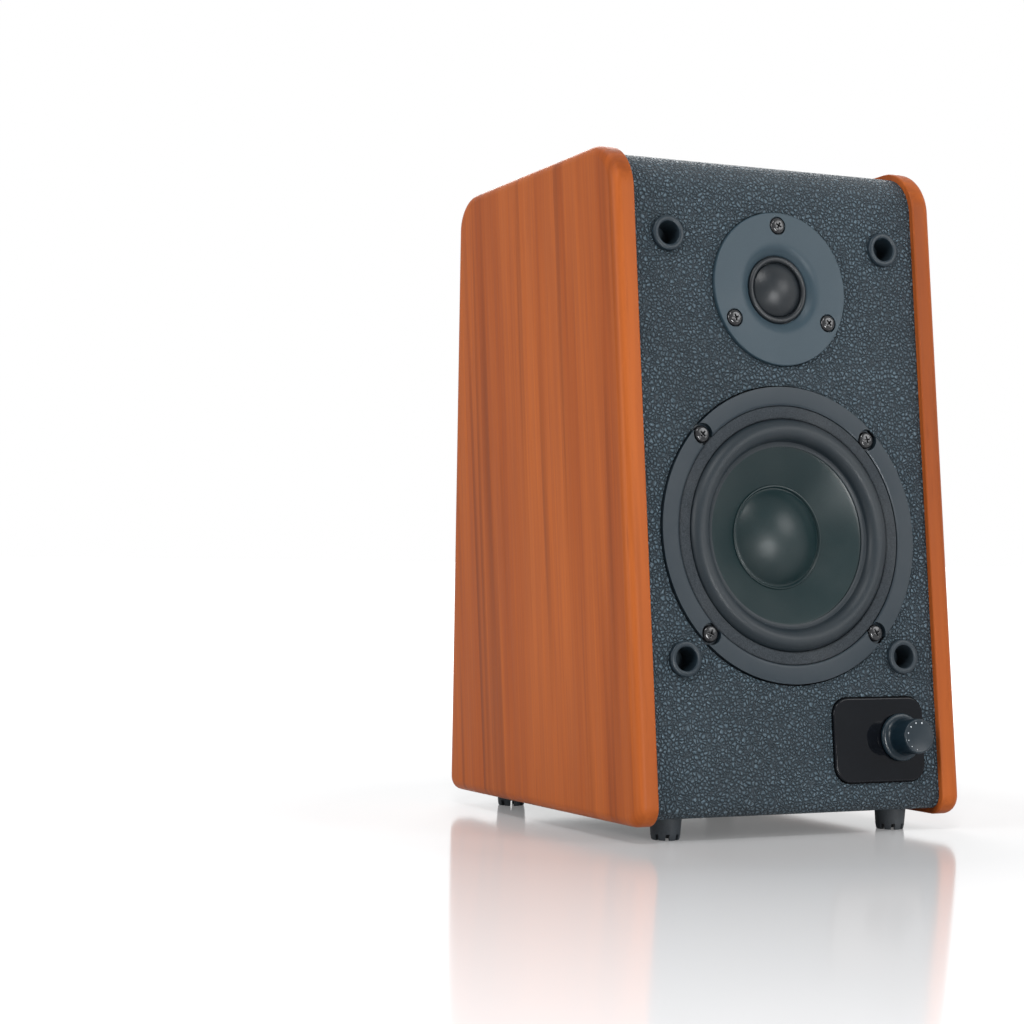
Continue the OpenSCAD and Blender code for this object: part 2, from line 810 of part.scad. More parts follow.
module grille_socket_top_left() color(PLASTIC) on_front(-socket_u, socket_top_v) grille_socket();
module grille_socket_top_right() color(PLASTIC) on_front(socket_u, socket_top_v) grille_socket();
module grille_socket_low_left() color(PLASTIC) on_front(-socket_u, socket_low_v) grille_socket();
module grille_socket_low_right() color(PLASTIC) on_front(socket_u, socket_low_v) grille_socket();

// ---- volume control ----

module volume_plate() {
    chamfer = 0.4;
    color(BLACK) difference() {
        union() {
            on_front(plate_u, plate_v) round_slab(volume_plate_w, volume_plate_h, volume_plate_r,
                -cloth_t, volume_plate_top - chamfer);
            on_front(plate_u, plate_v) round_slab(volume_plate_w - 2 * chamfer,
                volume_plate_h - 2 * chamfer, volume_plate_r - chamfer, -cloth_t,
                volume_plate_top);
        }
        on_front(knob_u, knob_height) disc(bush_r + fit, -big, big);
    }
}

module volume_pot() {
    color(STEEL) on_front(knob_u, knob_height) difference() {
        union() {
            disc(pot_r, -cloth_t - pot_depth, -cloth_t);
            disc(bush_r, -cloth_t - eps, bush_top);
            translate([0, -4, 0]) slab(11, 5, -cloth_t - pot_depth - 4, -cloth_t - pot_depth + eps);
        }
        disc(shaft_d / 2 + shaft_fit, -cloth_t - pot_depth + 2, big);
    }
}

module volume_nut() {
    color(STEEL) on_front(knob_u, knob_height) difference() {
        translate([0, 0, volume_plate_top])
            cylinder(r = nut_across / 2 / cos(30), h = nut_t, $fn = 6);
        disc(bush_r + fit, 0, big);
    }
}

module volume_shaft() {
    color(STEEL) on_front(knob_u, knob_height)
        disc(shaft_d / 2, -cloth_t - pot_depth + 2.3, knob_reach - knob_cap_t);
}

module volume_knob() {
    foot_r = knob_foot_d / 2;
    sweep_r = foot_r - knob_body_r - 0.4;
    color(BLACK) on_front(knob_u, knob_height) difference() {
        rotate_extrude() polygon(concat(
            [[0, knob_foot_low], [foot_r - 0.3, knob_foot_low], [foot_r, knob_foot_low + 0.3],
                [foot_r, knob_foot_low + knob_flange_h - 0.5],
                [foot_r - 0.4, knob_foot_low + knob_flange_h]],
            arc([foot_r - 0.4, knob_foot_low + knob_flange_h + sweep_r], sweep_r, 270, 180, 8),
            [[knob_body_r, knob_reach - knob_face_edge],
                [knob_body_r - knob_face_edge, knob_reach],
                [0, knob_reach]]
        ));
        disc(knob_hollow_r, 0, knob_hollow_top);
        disc(shaft_d / 2 + fit / 2, 0, knob_reach - knob_cap_t + fit);
    }
}

// ---- feet ----

module foot() {
    r = foot_d / 2;
    slot_w = 1.6;
    slot_h = 2.2;
    color("#26292c") difference() {
        rotate_extrude() polygon([[0, 0], [r - 1, 0], [r - 0.6, 0.4], [r, foot_h], [0, foot_h]]);
        for (a = [0:45:135])
            rotate(a) slab(foot_d + 2, slot_w, -1, slot_h);
        disc(foot_screw_r + 1.7, -1, foot_h - 3);
        disc(foot_screw_r + fit, -1, foot_h + 1);
    }
}

module foot_front_left() translate([-foot_x, foot_front_y, 0]) foot();
module foot_front_right() translate([foot_x, foot_front_y, 0]) foot();
module foot_rear_left() translate([-foot_x, foot_rear_y, 0]) foot();
module foot_rear_right() translate([foot_x, foot_rear_y, 0]) foot();

module foot_screws() {
    color(STEEL) foot_places() translate([0, 0, foot_h - 3]) mirror([0, 0, 1])
        pan_screw(foot_screw_r + 1.4, foot_screw_r, 3 + board_t - 1);
}

// ---- rear ----

module port_tube() {
    flange_top = 2.4;
    color(BLACK) on_rear(0, port_z) rotate_extrude() polygon(concat(
        [[port_r, -port_len], [port_r + port_wall, -port_len], [port_r + port_wall, 0],
            [port_flange_r, 0], [port_flange_r, flange_top - 0.8],
            [port_flange_r - 0.8, flange_top]],
        [for (p = arc([port_r + 5, flange_top - 5], 5, 90, 180, 8)) p]
    ));
}

module amp_plate() {
    color(BLACK) difference() {
        on_rear(0, amp_plate_z) round_slab(amp_plate_w, amp_plate_h, 3, 0, plate_t);
        amp_screw_places() disc(screw_r + fit, -big, big);
        phono_places() disc(phono_r + fit, -big, big);
        on_rear(0, lever_z) slab(block_w - 6, block_h - 8, -1, big);
        on_rear(rocker_x, rocker_z) slab(rocker_w + 2 + 2 * fit, rocker_h + 2 + 2 * fit, -1, big);
        on_rear(inlet_x, rocker_z) slab(inlet_w + 3 + 2 * fit, inlet_h + 3 + 2 * fit, -1, big);
    }
}

module amp_plate_screws() {
    color(BLACK) amp_screw_places() pan_screw(screw_head_r, screw_r, plate_t + board_t - 1);
}

// moulded body of the four phono sockets, between the plate and the circuit board
module phono_block() {
    color(BLACK) on_rear(jack_x, jack_z)
        slab(2 * jack_pitch, 2 * jack_pitch, -board_gap, 0);
}

module phono_barrels() {
    top = plate_t + jack_flange_t + phono_len;
    pin_r = 1.6;
    color("#c9ccd0") phono_places() difference() {
        union() {
            disc(phono_r, 0, top);
            disc(phono_r + 1.3, plate_t, plate_t + jack_flange_t);
        }
        disc(pin_r, 3, big);
    }
}

// spring terminals: a block with two wire holes and a lever above each
module terminal_block() {
    pocket_w = lever_w + 0.8;
    color(BLACK) difference() {
        union() {
            on_rear(0, lever_z) slab(block_w, block_h, plate_t, plate_t + block_reach);
            on_rear(0, lever_z) slab(block_w - 7, block_h - 9, -board_gap, plate_t + eps);
        }
        for (x = [-1, 1])
            on_rear(x * lever_pitch / 2, lever_z) {
                translate([0, 5.5, 0]) slab(pocket_w, 12.6, plate_t + 1, big);
                translate([0, -8, 0]) disc(wire_r, -8, big);
            }
        lever_pin_at(0, lever_pitch + pocket_w + 2 * lever_pin_len + 1, lever_pin_r + fit);
    }
}

module lever_pin_at(x, len, r) {
    on_rear(x, lever_pivot_z, lever_pivot_out) rotate([0, 90, 0])
        translate([0, 0, -len / 2]) cylinder(r = r, h = len);
}

// one spring lever, hinged at its lower end in the block's pocket, with a tab at its upper end
module lever_at(x) {
    back = -1.2;
    lever_pin_at(x, lever_w + 0.8 + 2 * lever_pin_len, lever_pin_r);
    lever_pin_at(x, lever_w, 1.5);
    on_rear(x, lever_pivot_z, lever_pivot_out) {
        translate([0, 4.4, 0]) slab(lever_w, 8.8, back, 1.5);
        translate([0, 8, 0]) slab(lever_w, 1.8, back, lever_tab_out - lever_pivot_out);
    }
}

module red_lever() color("#b3261e") lever_at(lever_pitch / 2);
module black_lever() color(BLACK) lever_at(-lever_pitch / 2);

module rocker_pin(len, r) {
    on_rear(rocker_x, rocker_z, rocker_out) rotate([0, 90, 0])
        translate([0, 0, -len / 2]) cylinder(r = r, h = len);
}

module switch_housing() {
    color(BLACK) difference() {
        union() {
            on_rear(rocker_x, rocker_z)
                slab(rocker_w + 2, rocker_h + 2, -14, plate_t + eps);
            on_rear(rocker_x, rocker_z)
                slab(rocker_w + 5, rocker_h + 5, plate_t, plate_t + 1.6);
        }
        on_rear(rocker_x, rocker_z) slab(rocker_w, rocker_h, -9, big);
        rocker_pin(rocker_w + 1.6, rocker_pin_r + fit);
    }
}

// two-way rocker: its face is a shallow V, and one half lies flush
module power_rocker() {
    gap = 0.35;
    w = rocker_w - 2 * gap;
    half = rocker_h / 2 - 1.2;
    rise = 2.6;
    color("#2a2d30") {
        on_rear(rocker_x, rocker_z, rocker_out) rotate([rocker_throw / 2, 0, 0])
            translate([-w / 2, 0, 0]) rotate([90, 0, 90]) linear_extrude(w) polygon([
                [-half, rise + 1.6], [0, rise], [half, rise + 1.6], [half, rise - 1], [2, -3.4],
                [-2, -3.4], [-half, rise - 1]
            ]);
        rocker_pin(rocker_w + 1.4, rocker_pin_r);
    }
}

module mains_inlet() {
    pin_r = 1.2;
    color(BLACK) difference() {
        union() {
            on_rear(inlet_x, rocker_z)
                slab(inlet_w + 3, inlet_h + 3, -15, plate_t + eps);
            on_rear(inlet_x, rocker_z)
                slab(inlet_w + 7, inlet_h + 7, plate_t, plate_t + 1.6);
        }
        on_rear(inlet_x, rocker_z) round_slab(inlet_w, inlet_h, inlet_h / 2 - 0.1, -11, big);
    }
    color(STEEL) for (x = [-1, 1])
        on_rear(inlet_x + x * 4.3, rocker_z) disc(pin_r, -12, -1);
}

// ---- electronics behind the rear plate ----

module amp_board() {
    color("#2f6b3c") on_rear(0, pcb_z) slab(pcb_w, pcb_h, -board_gap - pcb_t, -board_gap);
    color("#e8e2cf") on_rear(24, pcb_z + 4)
        slab(16, 8, -board_gap - pcb_t - 8, -board_gap - pcb_t);
    color("#e8e2cf") on_rear(24, pcb_z + 20)
        slab(10, 8, -board_gap - pcb_t - 8, -board_gap - pcb_t);
}

module filter_capacitors() {
    cap_r = 8;
    color("#23304f") for (x = [-1, 1])
        on_rear(10 + x * (cap_r + 0.5), pcb_z - 22)
            disc(cap_r, -board_gap - pcb_t - 25, -board_gap - pcb_t);
}

// finned block, bolted to the amplifier chip's side of the board
module heat_sink() {
    fin_t = 1.4;
    fins = 6;
    foot = 3;
    pitch = (sink_w - fin_t) / (fins - 1);
    color("#9ea3a8") {
        on_rear(sink_x, pcb_z + 6)
            slab(sink_w, sink_h, -board_gap - pcb_t - foot, -board_gap - pcb_t);
        for (i = [0:fins - 1])
            on_rear(sink_x - sink_w / 2 + fin_t / 2 + i * pitch, pcb_z + 6)
                slab(fin_t, sink_h, -board_gap - pcb_t - 20, -board_gap - pcb_t - foot + eps);
    }
}

// stack of steel sheets with two windows
module transformer_core() {
    color(STEEL) translate([0, core_y, floor_z]) difference() {
        translate([-core_w / 2, -core_t / 2, 0]) cube([core_w, core_t, core_h]);
        for (x = [-1, 1])
            translate([x * (core_leg + core_window_w / 2) - core_window_w / 2, -core_t, core_leg])
                cube([core_window_w, 2 * core_t, core_h - 2 * core_leg]);
    }
}

// winding around the core's middle leg
module transformer_coil() {
    bulge = 9;
    slack = 0.15;
    w = 2 * (core_leg + core_window_w - slack);
    z = floor_z + core_leg + slack;
    h = core_h - 2 * core_leg - 2 * slack;
    color("#c99a3a") difference() {
        translate([-w / 2, core_y - core_t / 2 - bulge, z]) cube([w, core_t + 2 * bulge, h]);
        translate([-core_leg - slack, core_y - core_t / 2 - slack, z - 1])
            cube([2 * (core_leg + slack), core_t + 2 * slack, h + 2]);
    }
}

// ---- leads from the amplifier board to the drivers ----

function bezier(a, b, c, d, k) = a * pow(1 - k, 3) + 3 * b * k * pow(1 - k, 2)
    + 3 * c * k * k * (1 - k) + d * pow(k, 3);

// round tube along a curve that starts square to the front and ends square to the rear
module lead(a, b, pull_a, pull_b, r) {
    sides = 8;
    rings = 18;
    out = front_point(0, 0, 1) - front_point(0, 0, 0);
    a1 = a - pull_a * out;
    b1 = b - [0, pull_b, 0];
    path = [for (i = [0:rings]) bezier(a, a1, b1, b, i / rings)];
    dirs = [for (i = [0:rings])
        i == 0 ? -out : i == rings ? [0, 1, 0] : unit(path[i + 1] - path[i - 1])];
    points = [for (i = [0:rings]) let (
            u = unit(cross(dirs[i], [0, 0, 1])),
            v = cross(u, dirs[i])
        ) for (j = [0:sides - 1]) path[i] + r * (cos(360 * j / sides) * u + sin(360 * j / sides) * v)];
    polyhedron(points, concat(
        [[for (j = [0:sides - 1]) j]],
        [for (i = [0:rings - 1], j = [0:sides - 1]) let (k = (j + 1) % sides)
            [i * sides + j, (i + 1) * sides + j, (i + 1) * sides + k, i * sides + k]],
        [[for (j = [sides - 1:-1:0]) rings * sides + j]]
    ));
}

module speaker_leads() {
    socket_y = pcb_y - pcb_t - 8;
    tweeter_back_d = dome_gap_d - dome_pole_t - dome_magnet_t - 3;
    color("#3a3d40") {
        lead(front_point(tag_x, woofer_v - ledge_ri - tag_len + 1, tag_d - 5),
            [28, socket_y, pcb_z + 4], 30, 22, 1.3);
        lead(front_point(0, tweeter_v, tweeter_back_d), [24, socket_y, pcb_z + 20], 22, 46, 1.3);
    }
}

left_side_panel();
right_side_panel();
baffle_board();
top_board();
bottom_board();
rear_board();
leatherette_wrap();
damping_pad();
tweeter_faceplate();
tweeter_surround();
tweeter_dome();
tweeter_voice_coil();
tweeter_front_plate();
tweeter_magnet();
tweeter_yoke();
tweeter_screws();
woofer_trim_ring();
woofer_gasket();
woofer_basket();
woofer_surround();
woofer_cone();
woofer_dust_cap();
woofer_voice_coil();
woofer_spider();
woofer_top_plate();
woofer_magnet();
woofer_yoke();
woofer_terminals();
woofer_screws();
grille_socket_top_left();
grille_socket_top_right();
grille_socket_low_left();
grille_socket_low_right();
volume_plate();
volume_pot();
volume_nut();
volume_shaft();
volume_knob();
foot_front_left();
foot_front_right();
foot_rear_left();
foot_rear_right();
foot_screws();
port_tube();
amp_plate();
amp_plate_screws();
phono_block();
phono_barrels();
terminal_block();
red_lever();
black_lever();
switch_housing();
power_rocker();
mains_inlet();
amp_board();
filter_capacitors();
heat_sink();
transformer_core();
transformer_coil();
speaker_leads();
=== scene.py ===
import json
import math

import bpy
from mathutils import Matrix, Vector


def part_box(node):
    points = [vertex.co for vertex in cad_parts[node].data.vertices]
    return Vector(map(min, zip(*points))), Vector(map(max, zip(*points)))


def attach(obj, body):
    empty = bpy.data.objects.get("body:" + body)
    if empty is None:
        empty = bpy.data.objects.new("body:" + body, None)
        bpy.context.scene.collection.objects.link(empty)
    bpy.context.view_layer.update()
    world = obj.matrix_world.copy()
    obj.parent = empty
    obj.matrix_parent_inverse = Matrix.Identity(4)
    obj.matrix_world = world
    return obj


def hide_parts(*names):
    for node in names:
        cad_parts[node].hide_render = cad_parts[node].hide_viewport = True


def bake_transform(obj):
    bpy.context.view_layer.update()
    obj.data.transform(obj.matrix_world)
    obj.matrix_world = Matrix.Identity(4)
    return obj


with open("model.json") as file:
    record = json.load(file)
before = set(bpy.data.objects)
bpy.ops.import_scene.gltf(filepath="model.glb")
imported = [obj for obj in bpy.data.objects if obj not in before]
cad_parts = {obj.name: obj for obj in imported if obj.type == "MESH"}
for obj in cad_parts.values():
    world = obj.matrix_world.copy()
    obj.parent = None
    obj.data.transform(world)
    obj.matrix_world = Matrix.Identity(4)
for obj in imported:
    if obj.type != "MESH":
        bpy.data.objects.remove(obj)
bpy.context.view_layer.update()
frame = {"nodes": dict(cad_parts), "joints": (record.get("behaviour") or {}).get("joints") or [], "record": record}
nodes = frame["nodes"]
joints = {j["name"]: j for j in frame["joints"]}
mm = 0.001
print("frame loaded:", len(nodes), "nodes")

# directions of the leaning front
frontAxis = Vector(joints["woofer_stroke"]["axis"]).normalized()
lean = math.asin(frontAxis.z)
slopeUp = Vector((0, math.sin(lean), math.cos(lean)))


def span(nodeName, direction):
    reaches = [direction.dot(v.co) for v in nodes[nodeName].data.vertices]
    return min(reaches), max(reaches)


leatherReach = span("leatherette_wrap", frontAxis)[1]
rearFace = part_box("leatherette_wrap")[1].y


def frontPlace(nodeName):  # local Z out of the leather, local Y up the slope, at the node's middle
    low, high = span(nodeName, slopeUp)
    boxLow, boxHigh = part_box(nodeName)
    spot = frontAxis * leatherReach + slopeUp * (low + high) / 2
    spot.x = (boxLow.x + boxHigh.x) / 2
    return Matrix.Translation(spot) @ Matrix.Rotation(math.radians(90) - lean, 4, "X")


def rearPlace(x, z):  # local Z out of the rear, local Y up, local X to the right seen from behind
    turn = Matrix.Rotation(math.pi, 4, "Z") @ Matrix.Rotation(math.pi / 2, 4, "X")
    return Matrix.Translation((x, rearFace, z)) @ turn


def boxMiddle(nodeName):
    low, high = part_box(nodeName)
    return (low + high) / 2


# ---- camera ----

cameraView = {
    "place": (-0.57309, -0.91697, 0.12098),
    "turn": (90.373, -0.962, -27.751),
    "lens": 89.17,
    "sensor": 36,
}

cameraData = bpy.data.cameras.new("camera")
cameraData.lens = cameraView["lens"]
cameraData.sensor_width = cameraView["sensor"]
camera = bpy.data.objects.new("camera", cameraData)
camera.location = cameraView["place"]
camera.rotation_euler = [math.radians(a) for a in cameraView["turn"]]
bpy.context.scene.collection.objects.link(camera)
bpy.context.scene.camera = camera
bpy.context.scene.view_settings.view_transform = "Standard"


# ---- shader helpers ----

def addNode(tree, kind, inputs=None, **settings):
    made = tree.nodes.new(kind)
    for key, value in settings.items():
        setattr(made, key, value)
    for key, value in (inputs or {}).items():
        if isinstance(value, bpy.types.NodeSocket):
            tree.links.new(value, made.inputs[key])
        else:
            made.inputs[key].default_value = value
    return made


def newGroup(name, inputs, outputs):
    tree = bpy.data.node_groups.new(name, "ShaderNodeTree")
    for label, kind, value in inputs:
        socket = tree.interface.new_socket(label, in_out="INPUT", socket_type=kind)
        socket.default_value = value
    for label, kind in outputs:
        tree.interface.new_socket(label, in_out="OUTPUT", socket_type=kind)
    return tree, tree.nodes.new("NodeGroupInput"), tree.nodes.new("NodeGroupOutput")


def mixColour(tree, factor, a, b, way="MIX"):
    mixed = addNode(tree, "ShaderNodeMix", data_type="RGBA", blend_type=way)
    for socket, value in ((0, factor), (6, a), (7, b)):
        if isinstance(value, bpy.types.NodeSocket):
            tree.links.new(value, mixed.inputs[socket])
        else:
            mixed.inputs[socket].default_value = value
    return mixed.outputs[2]


def mathNode(tree, way, a, b=0.0, clamp=False):
    made = addNode(tree, "ShaderNodeMath", {0: a, 1: b}, operation=way)
    made.use_clamp = clamp
    return made.outputs[0]


def mapRange(tree, value, low, high, newLow, newHigh):
    return addNode(tree, "ShaderNodeMapRange", {
        "Value": value, "From Min": low, "From Max": high, "To Min": newLow,
        "To Max": newHigh}).outputs[0]


colourKind, floatKind = "NodeSocketColor", "NodeSocketFloat"


def buildLeatherGrain():
    tree, given, result = newGroup("leatherGrain", [
        ("Pebbles per metre", floatKind, 560.0), ("Painted crease shade", colourKind, (0, 0, 0, 1)),
        ("Peak tone and painted highlight", colourKind, (1, 1, 1, 1))],
        [("Color", colourKind), ("Height", floatKind), ("Roughness", floatKind)])
    place = addNode(tree, "ShaderNodeTexCoord").outputs["Object"]
    warp = addNode(tree, "ShaderNodeTexNoise", {"Vector": place, "Scale": 300.0, "Detail": 2.0})
    bent = addNode(tree, "ShaderNodeVectorMath", {0: warp.outputs["Color"], 1: (0.0026,) * 3},
                   operation="MULTIPLY")
    moved = addNode(tree, "ShaderNodeVectorMath", {0: place, 1: bent.outputs[0]}, operation="ADD")
    cells = addNode(tree, "ShaderNodeTexVoronoi", {
        "Vector": moved.outputs[0], "Scale": given.outputs[0]}, feature="DISTANCE_TO_EDGE")
    domes = addNode(tree, "ShaderNodeTexVoronoi", {
        "Vector": moved.outputs[0], "Scale": given.outputs[0]}, feature="F1")
    pebble = mapRange(tree, cells.outputs["Distance"], 0.0, 0.24, 0.0, 1.0)
    dome = mapRange(tree, domes.outputs["Distance"], 0.0, 0.8, 1.0, 0.3)
    rounded = mathNode(tree, "MULTIPLY", mathNode(tree, "POWER", pebble, 0.7), dome)
    uneven = addNode(tree, "ShaderNodeTexNoise", {
        "Vector": place, "Scale": 330.0, "Detail": 3.0, "Roughness": 0.6})
    height = mathNode(tree, "MULTIPLY", rounded,
                      mapRange(tree, uneven.outputs["Fac"], 0.3, 0.7, 0.75, 1.2))
    broad = addNode(tree, "ShaderNodeTexNoise", {"Vector": place, "Scale": 22.0, "Detail": 2.0})
    # colour follows the pebble height: painted shade in the creases, painted highlight on the pebble tops over the
    # leather's own tone
    shade = mathNode(tree, "MULTIPLY", height,
                     mapRange(tree, broad.outputs["Fac"], 0.3, 0.7, 0.8, 1.15), True)
    tree.links.new(mixColour(tree, shade, given.outputs[1], given.outputs[2]), result.inputs[0])
    tree.links.new(height, result.inputs[1])
    tree.links.new(mapRange(tree, height, 0.0, 1.0, 0.6, 0.36), result.inputs[2])
    return tree


def buildWoodGrain():
    tree, given, result = newGroup("woodGrain", [
        ("Pale", colourKind, (1, 1, 1, 1)), ("Deep", colourKind, (0, 0, 0, 1)),
        ("Streak", colourKind, (0, 0, 0, 1)), ("Streak amount", floatKind, 0.6)],
        [("Color", colourKind), ("Height", floatKind), ("Roughness", floatKind)])
    place = addNode(tree, "ShaderNodeTexCoord").outputs["Object"]
    leaned = addNode(tree, "ShaderNodeMapping", {"Vector": place, "Rotation": (lean, 0, 0)})

    def stretched(across, along, detail, offset=0.0, roughness=0.55):
        mapped = addNode(tree, "ShaderNodeMapping", {
            "Vector": leaned.outputs[0], "Scale": (across * 0.3, across, along),
            "Location": (offset, offset, offset)})
        return addNode(tree, "ShaderNodeTexNoise", {
            "Vector": mapped.outputs[0], "Scale": 1.0, "Detail": detail,
            "Roughness": roughness, "Distortion": 0.25}).outputs["Fac"]

    broad = stretched(26.0, 1.6, 2.0, 3.7)
    bands = stretched(95.0, 3.4, 3.0, 11.3)
    fibres = stretched(820.0, 11.0, 3.0, 5.1)
    pores = stretched(1500.0, 34.0, 2.0, 8.9, 0.7)
    tone = mathNode(tree, "ADD", mapRange(tree, broad, 0.3, 0.7, 0.0, 0.5),
                    mapRange(tree, bands, 0.3, 0.72, 0.0, 0.5))
    base = mixColour(tree, tone, given.outputs[1], given.outputs[0])
    streaks = mathNode(tree, "MAXIMUM",
                       mapRange(tree, stretched(150.0, 2.2, 1.0, 21.4), 0.6, 0.74, 0.0, 0.7),
                       mapRange(tree, stretched(60.0, 1.4, 2.0, 2.3), 0.62, 0.72, 0.0, 1.0))
    streaked = mixColour(tree, mathNode(tree, "MULTIPLY", streaks, given.outputs[3]), base, given.outputs[2])
    fibred = mixColour(tree, mapRange(tree, fibres, 0.3, 0.7, 0.28, 0.0), streaked, given.outputs[2])
    flecked = mixColour(tree, mapRange(tree, pores, 0.62, 0.72, 0.0, 0.22), fibred, given.outputs[2])
    tree.links.new(flecked, result.inputs[0])
    tree.links.new(mathNode(tree, "ADD", mathNode(tree, "MULTIPLY", fibres, 0.6),
                            mathNode(tree, "MULTIPLY", pores, 0.4)), result.inputs[1])
    tree.links.new(mapRange(tree, fibres, 0.3, 0.7, 0.38, 0.5), result.inputs[2])
    return tree


def buildSurfaceGrain():  # fine moulded or painted texture, with a little dust in broad patches
    tree, given, result = newGroup("surfaceGrain", [
        ("Color", colourKind, (1, 1, 1, 1)), ("Grains per metre", floatKind, 2400.0),
        ("Variation", floatKind, 0.15), ("Roughness", floatKind, 0.4),
        ("Spread", floatKind, 0.08), ("Dust", floatKind, 0.04)],
        [("Color", colourKind), ("Height", floatKind), ("Roughness", floatKind)])
    place = addNode(tree, "ShaderNodeTexCoord").outputs["Object"]
    grain = addNode(tree, "ShaderNodeTexNoise", {
        "Vector": place, "Scale": given.outputs[1], "Detail": 2.0}).outputs["Fac"]
    patches = addNode(tree, "ShaderNodeTexNoise", {
        "Vector": place, "Scale": 38.0, "Detail": 4.0}).outputs["Fac"]
    swing = mathNode(tree, "MULTIPLY", mapRange(tree, grain, 0.25, 0.75, -1.0, 1.0), given.outputs[2])
    level = mathNode(tree, "ADD", 1.0, swing)
    toned = mixColour(tree, 1.0, given.outputs[0], level, "MULTIPLY")
    dusty = mathNode(tree, "MULTIPLY", mapRange(tree, patches, 0.45, 0.75, 0.0, 1.0), given.outputs[5])
    tree.links.new(mixColour(tree, dusty, toned, (0.36, 0.36, 0.35, 1)), result.inputs[0])
    tree.links.new(grain, result.inputs[1])
    rough = mathNode(tree, "ADD", given.outputs[3],
                     mathNode(tree, "MULTIPLY", mapRange(tree, patches, 0.3, 0.7, -1.0, 1.0),
                              given.outputs[4]))
    tree.links.new(rough, result.inputs[2])
    return tree


groups = {"leather": buildLeatherGrain(), "wood": buildWoodGrain(), "grain": buildSurfaceGrain()}


def grainedMaterial(name, groupName, groupInputs, bump, shader):
    material = bpy.data.materials.new(name)
    material.use_nodes = True
    tree = material.node_tree
    bsdf = tree.nodes["Principled BSDF"]
    for key, value in shader.items():
        bsdf.inputs[key].default_value = value
    pattern = addNode(tree, "ShaderNodeGroup", node_tree=groups[groupName])
    for key, value in groupInputs.items():
        pattern.inputs[key].default_value = value
    raised = addNode(tree, "ShaderNodeBump", {
        "Strength": bump[0], "Distance": bump[1], "Height": pattern.outputs["Height"]})
    tree.links.new(pattern.outputs["Color"], bsdf.inputs["Base Color"])
    tree.links.new(pattern.outputs["Roughness"], bsdf.inputs["Roughness"])
    tree.links.new(raised.outputs["Normal"], bsdf.inputs["Normal"])
    return material


# the crease and peak colours paint the shade in the creases and the highlight on the pebble tops
leather = grainedMaterial("leatherCloth", "leather", {
    "Pebbles per metre": 620.0, "Painted crease shade": (0.011, 0.018, 0.024, 1), "Peak tone and painted highlight": (0.098, 0.146, 0.182, 1)},
    (1.0, 0.0016), {"Specular IOR Level": 0.3})
cherry = grainedMaterial("cherryVeneer", "wood", {
    "Pale": (0.46, 0.120, 0.025, 1), "Deep": (0.25, 0.050, 0.009, 1),
    "Streak": (0.110, 0.022, 0.006, 1), "Streak amount": 0.7},
    (0.3, 0.00012), {"Specular IOR Level": 0.1})

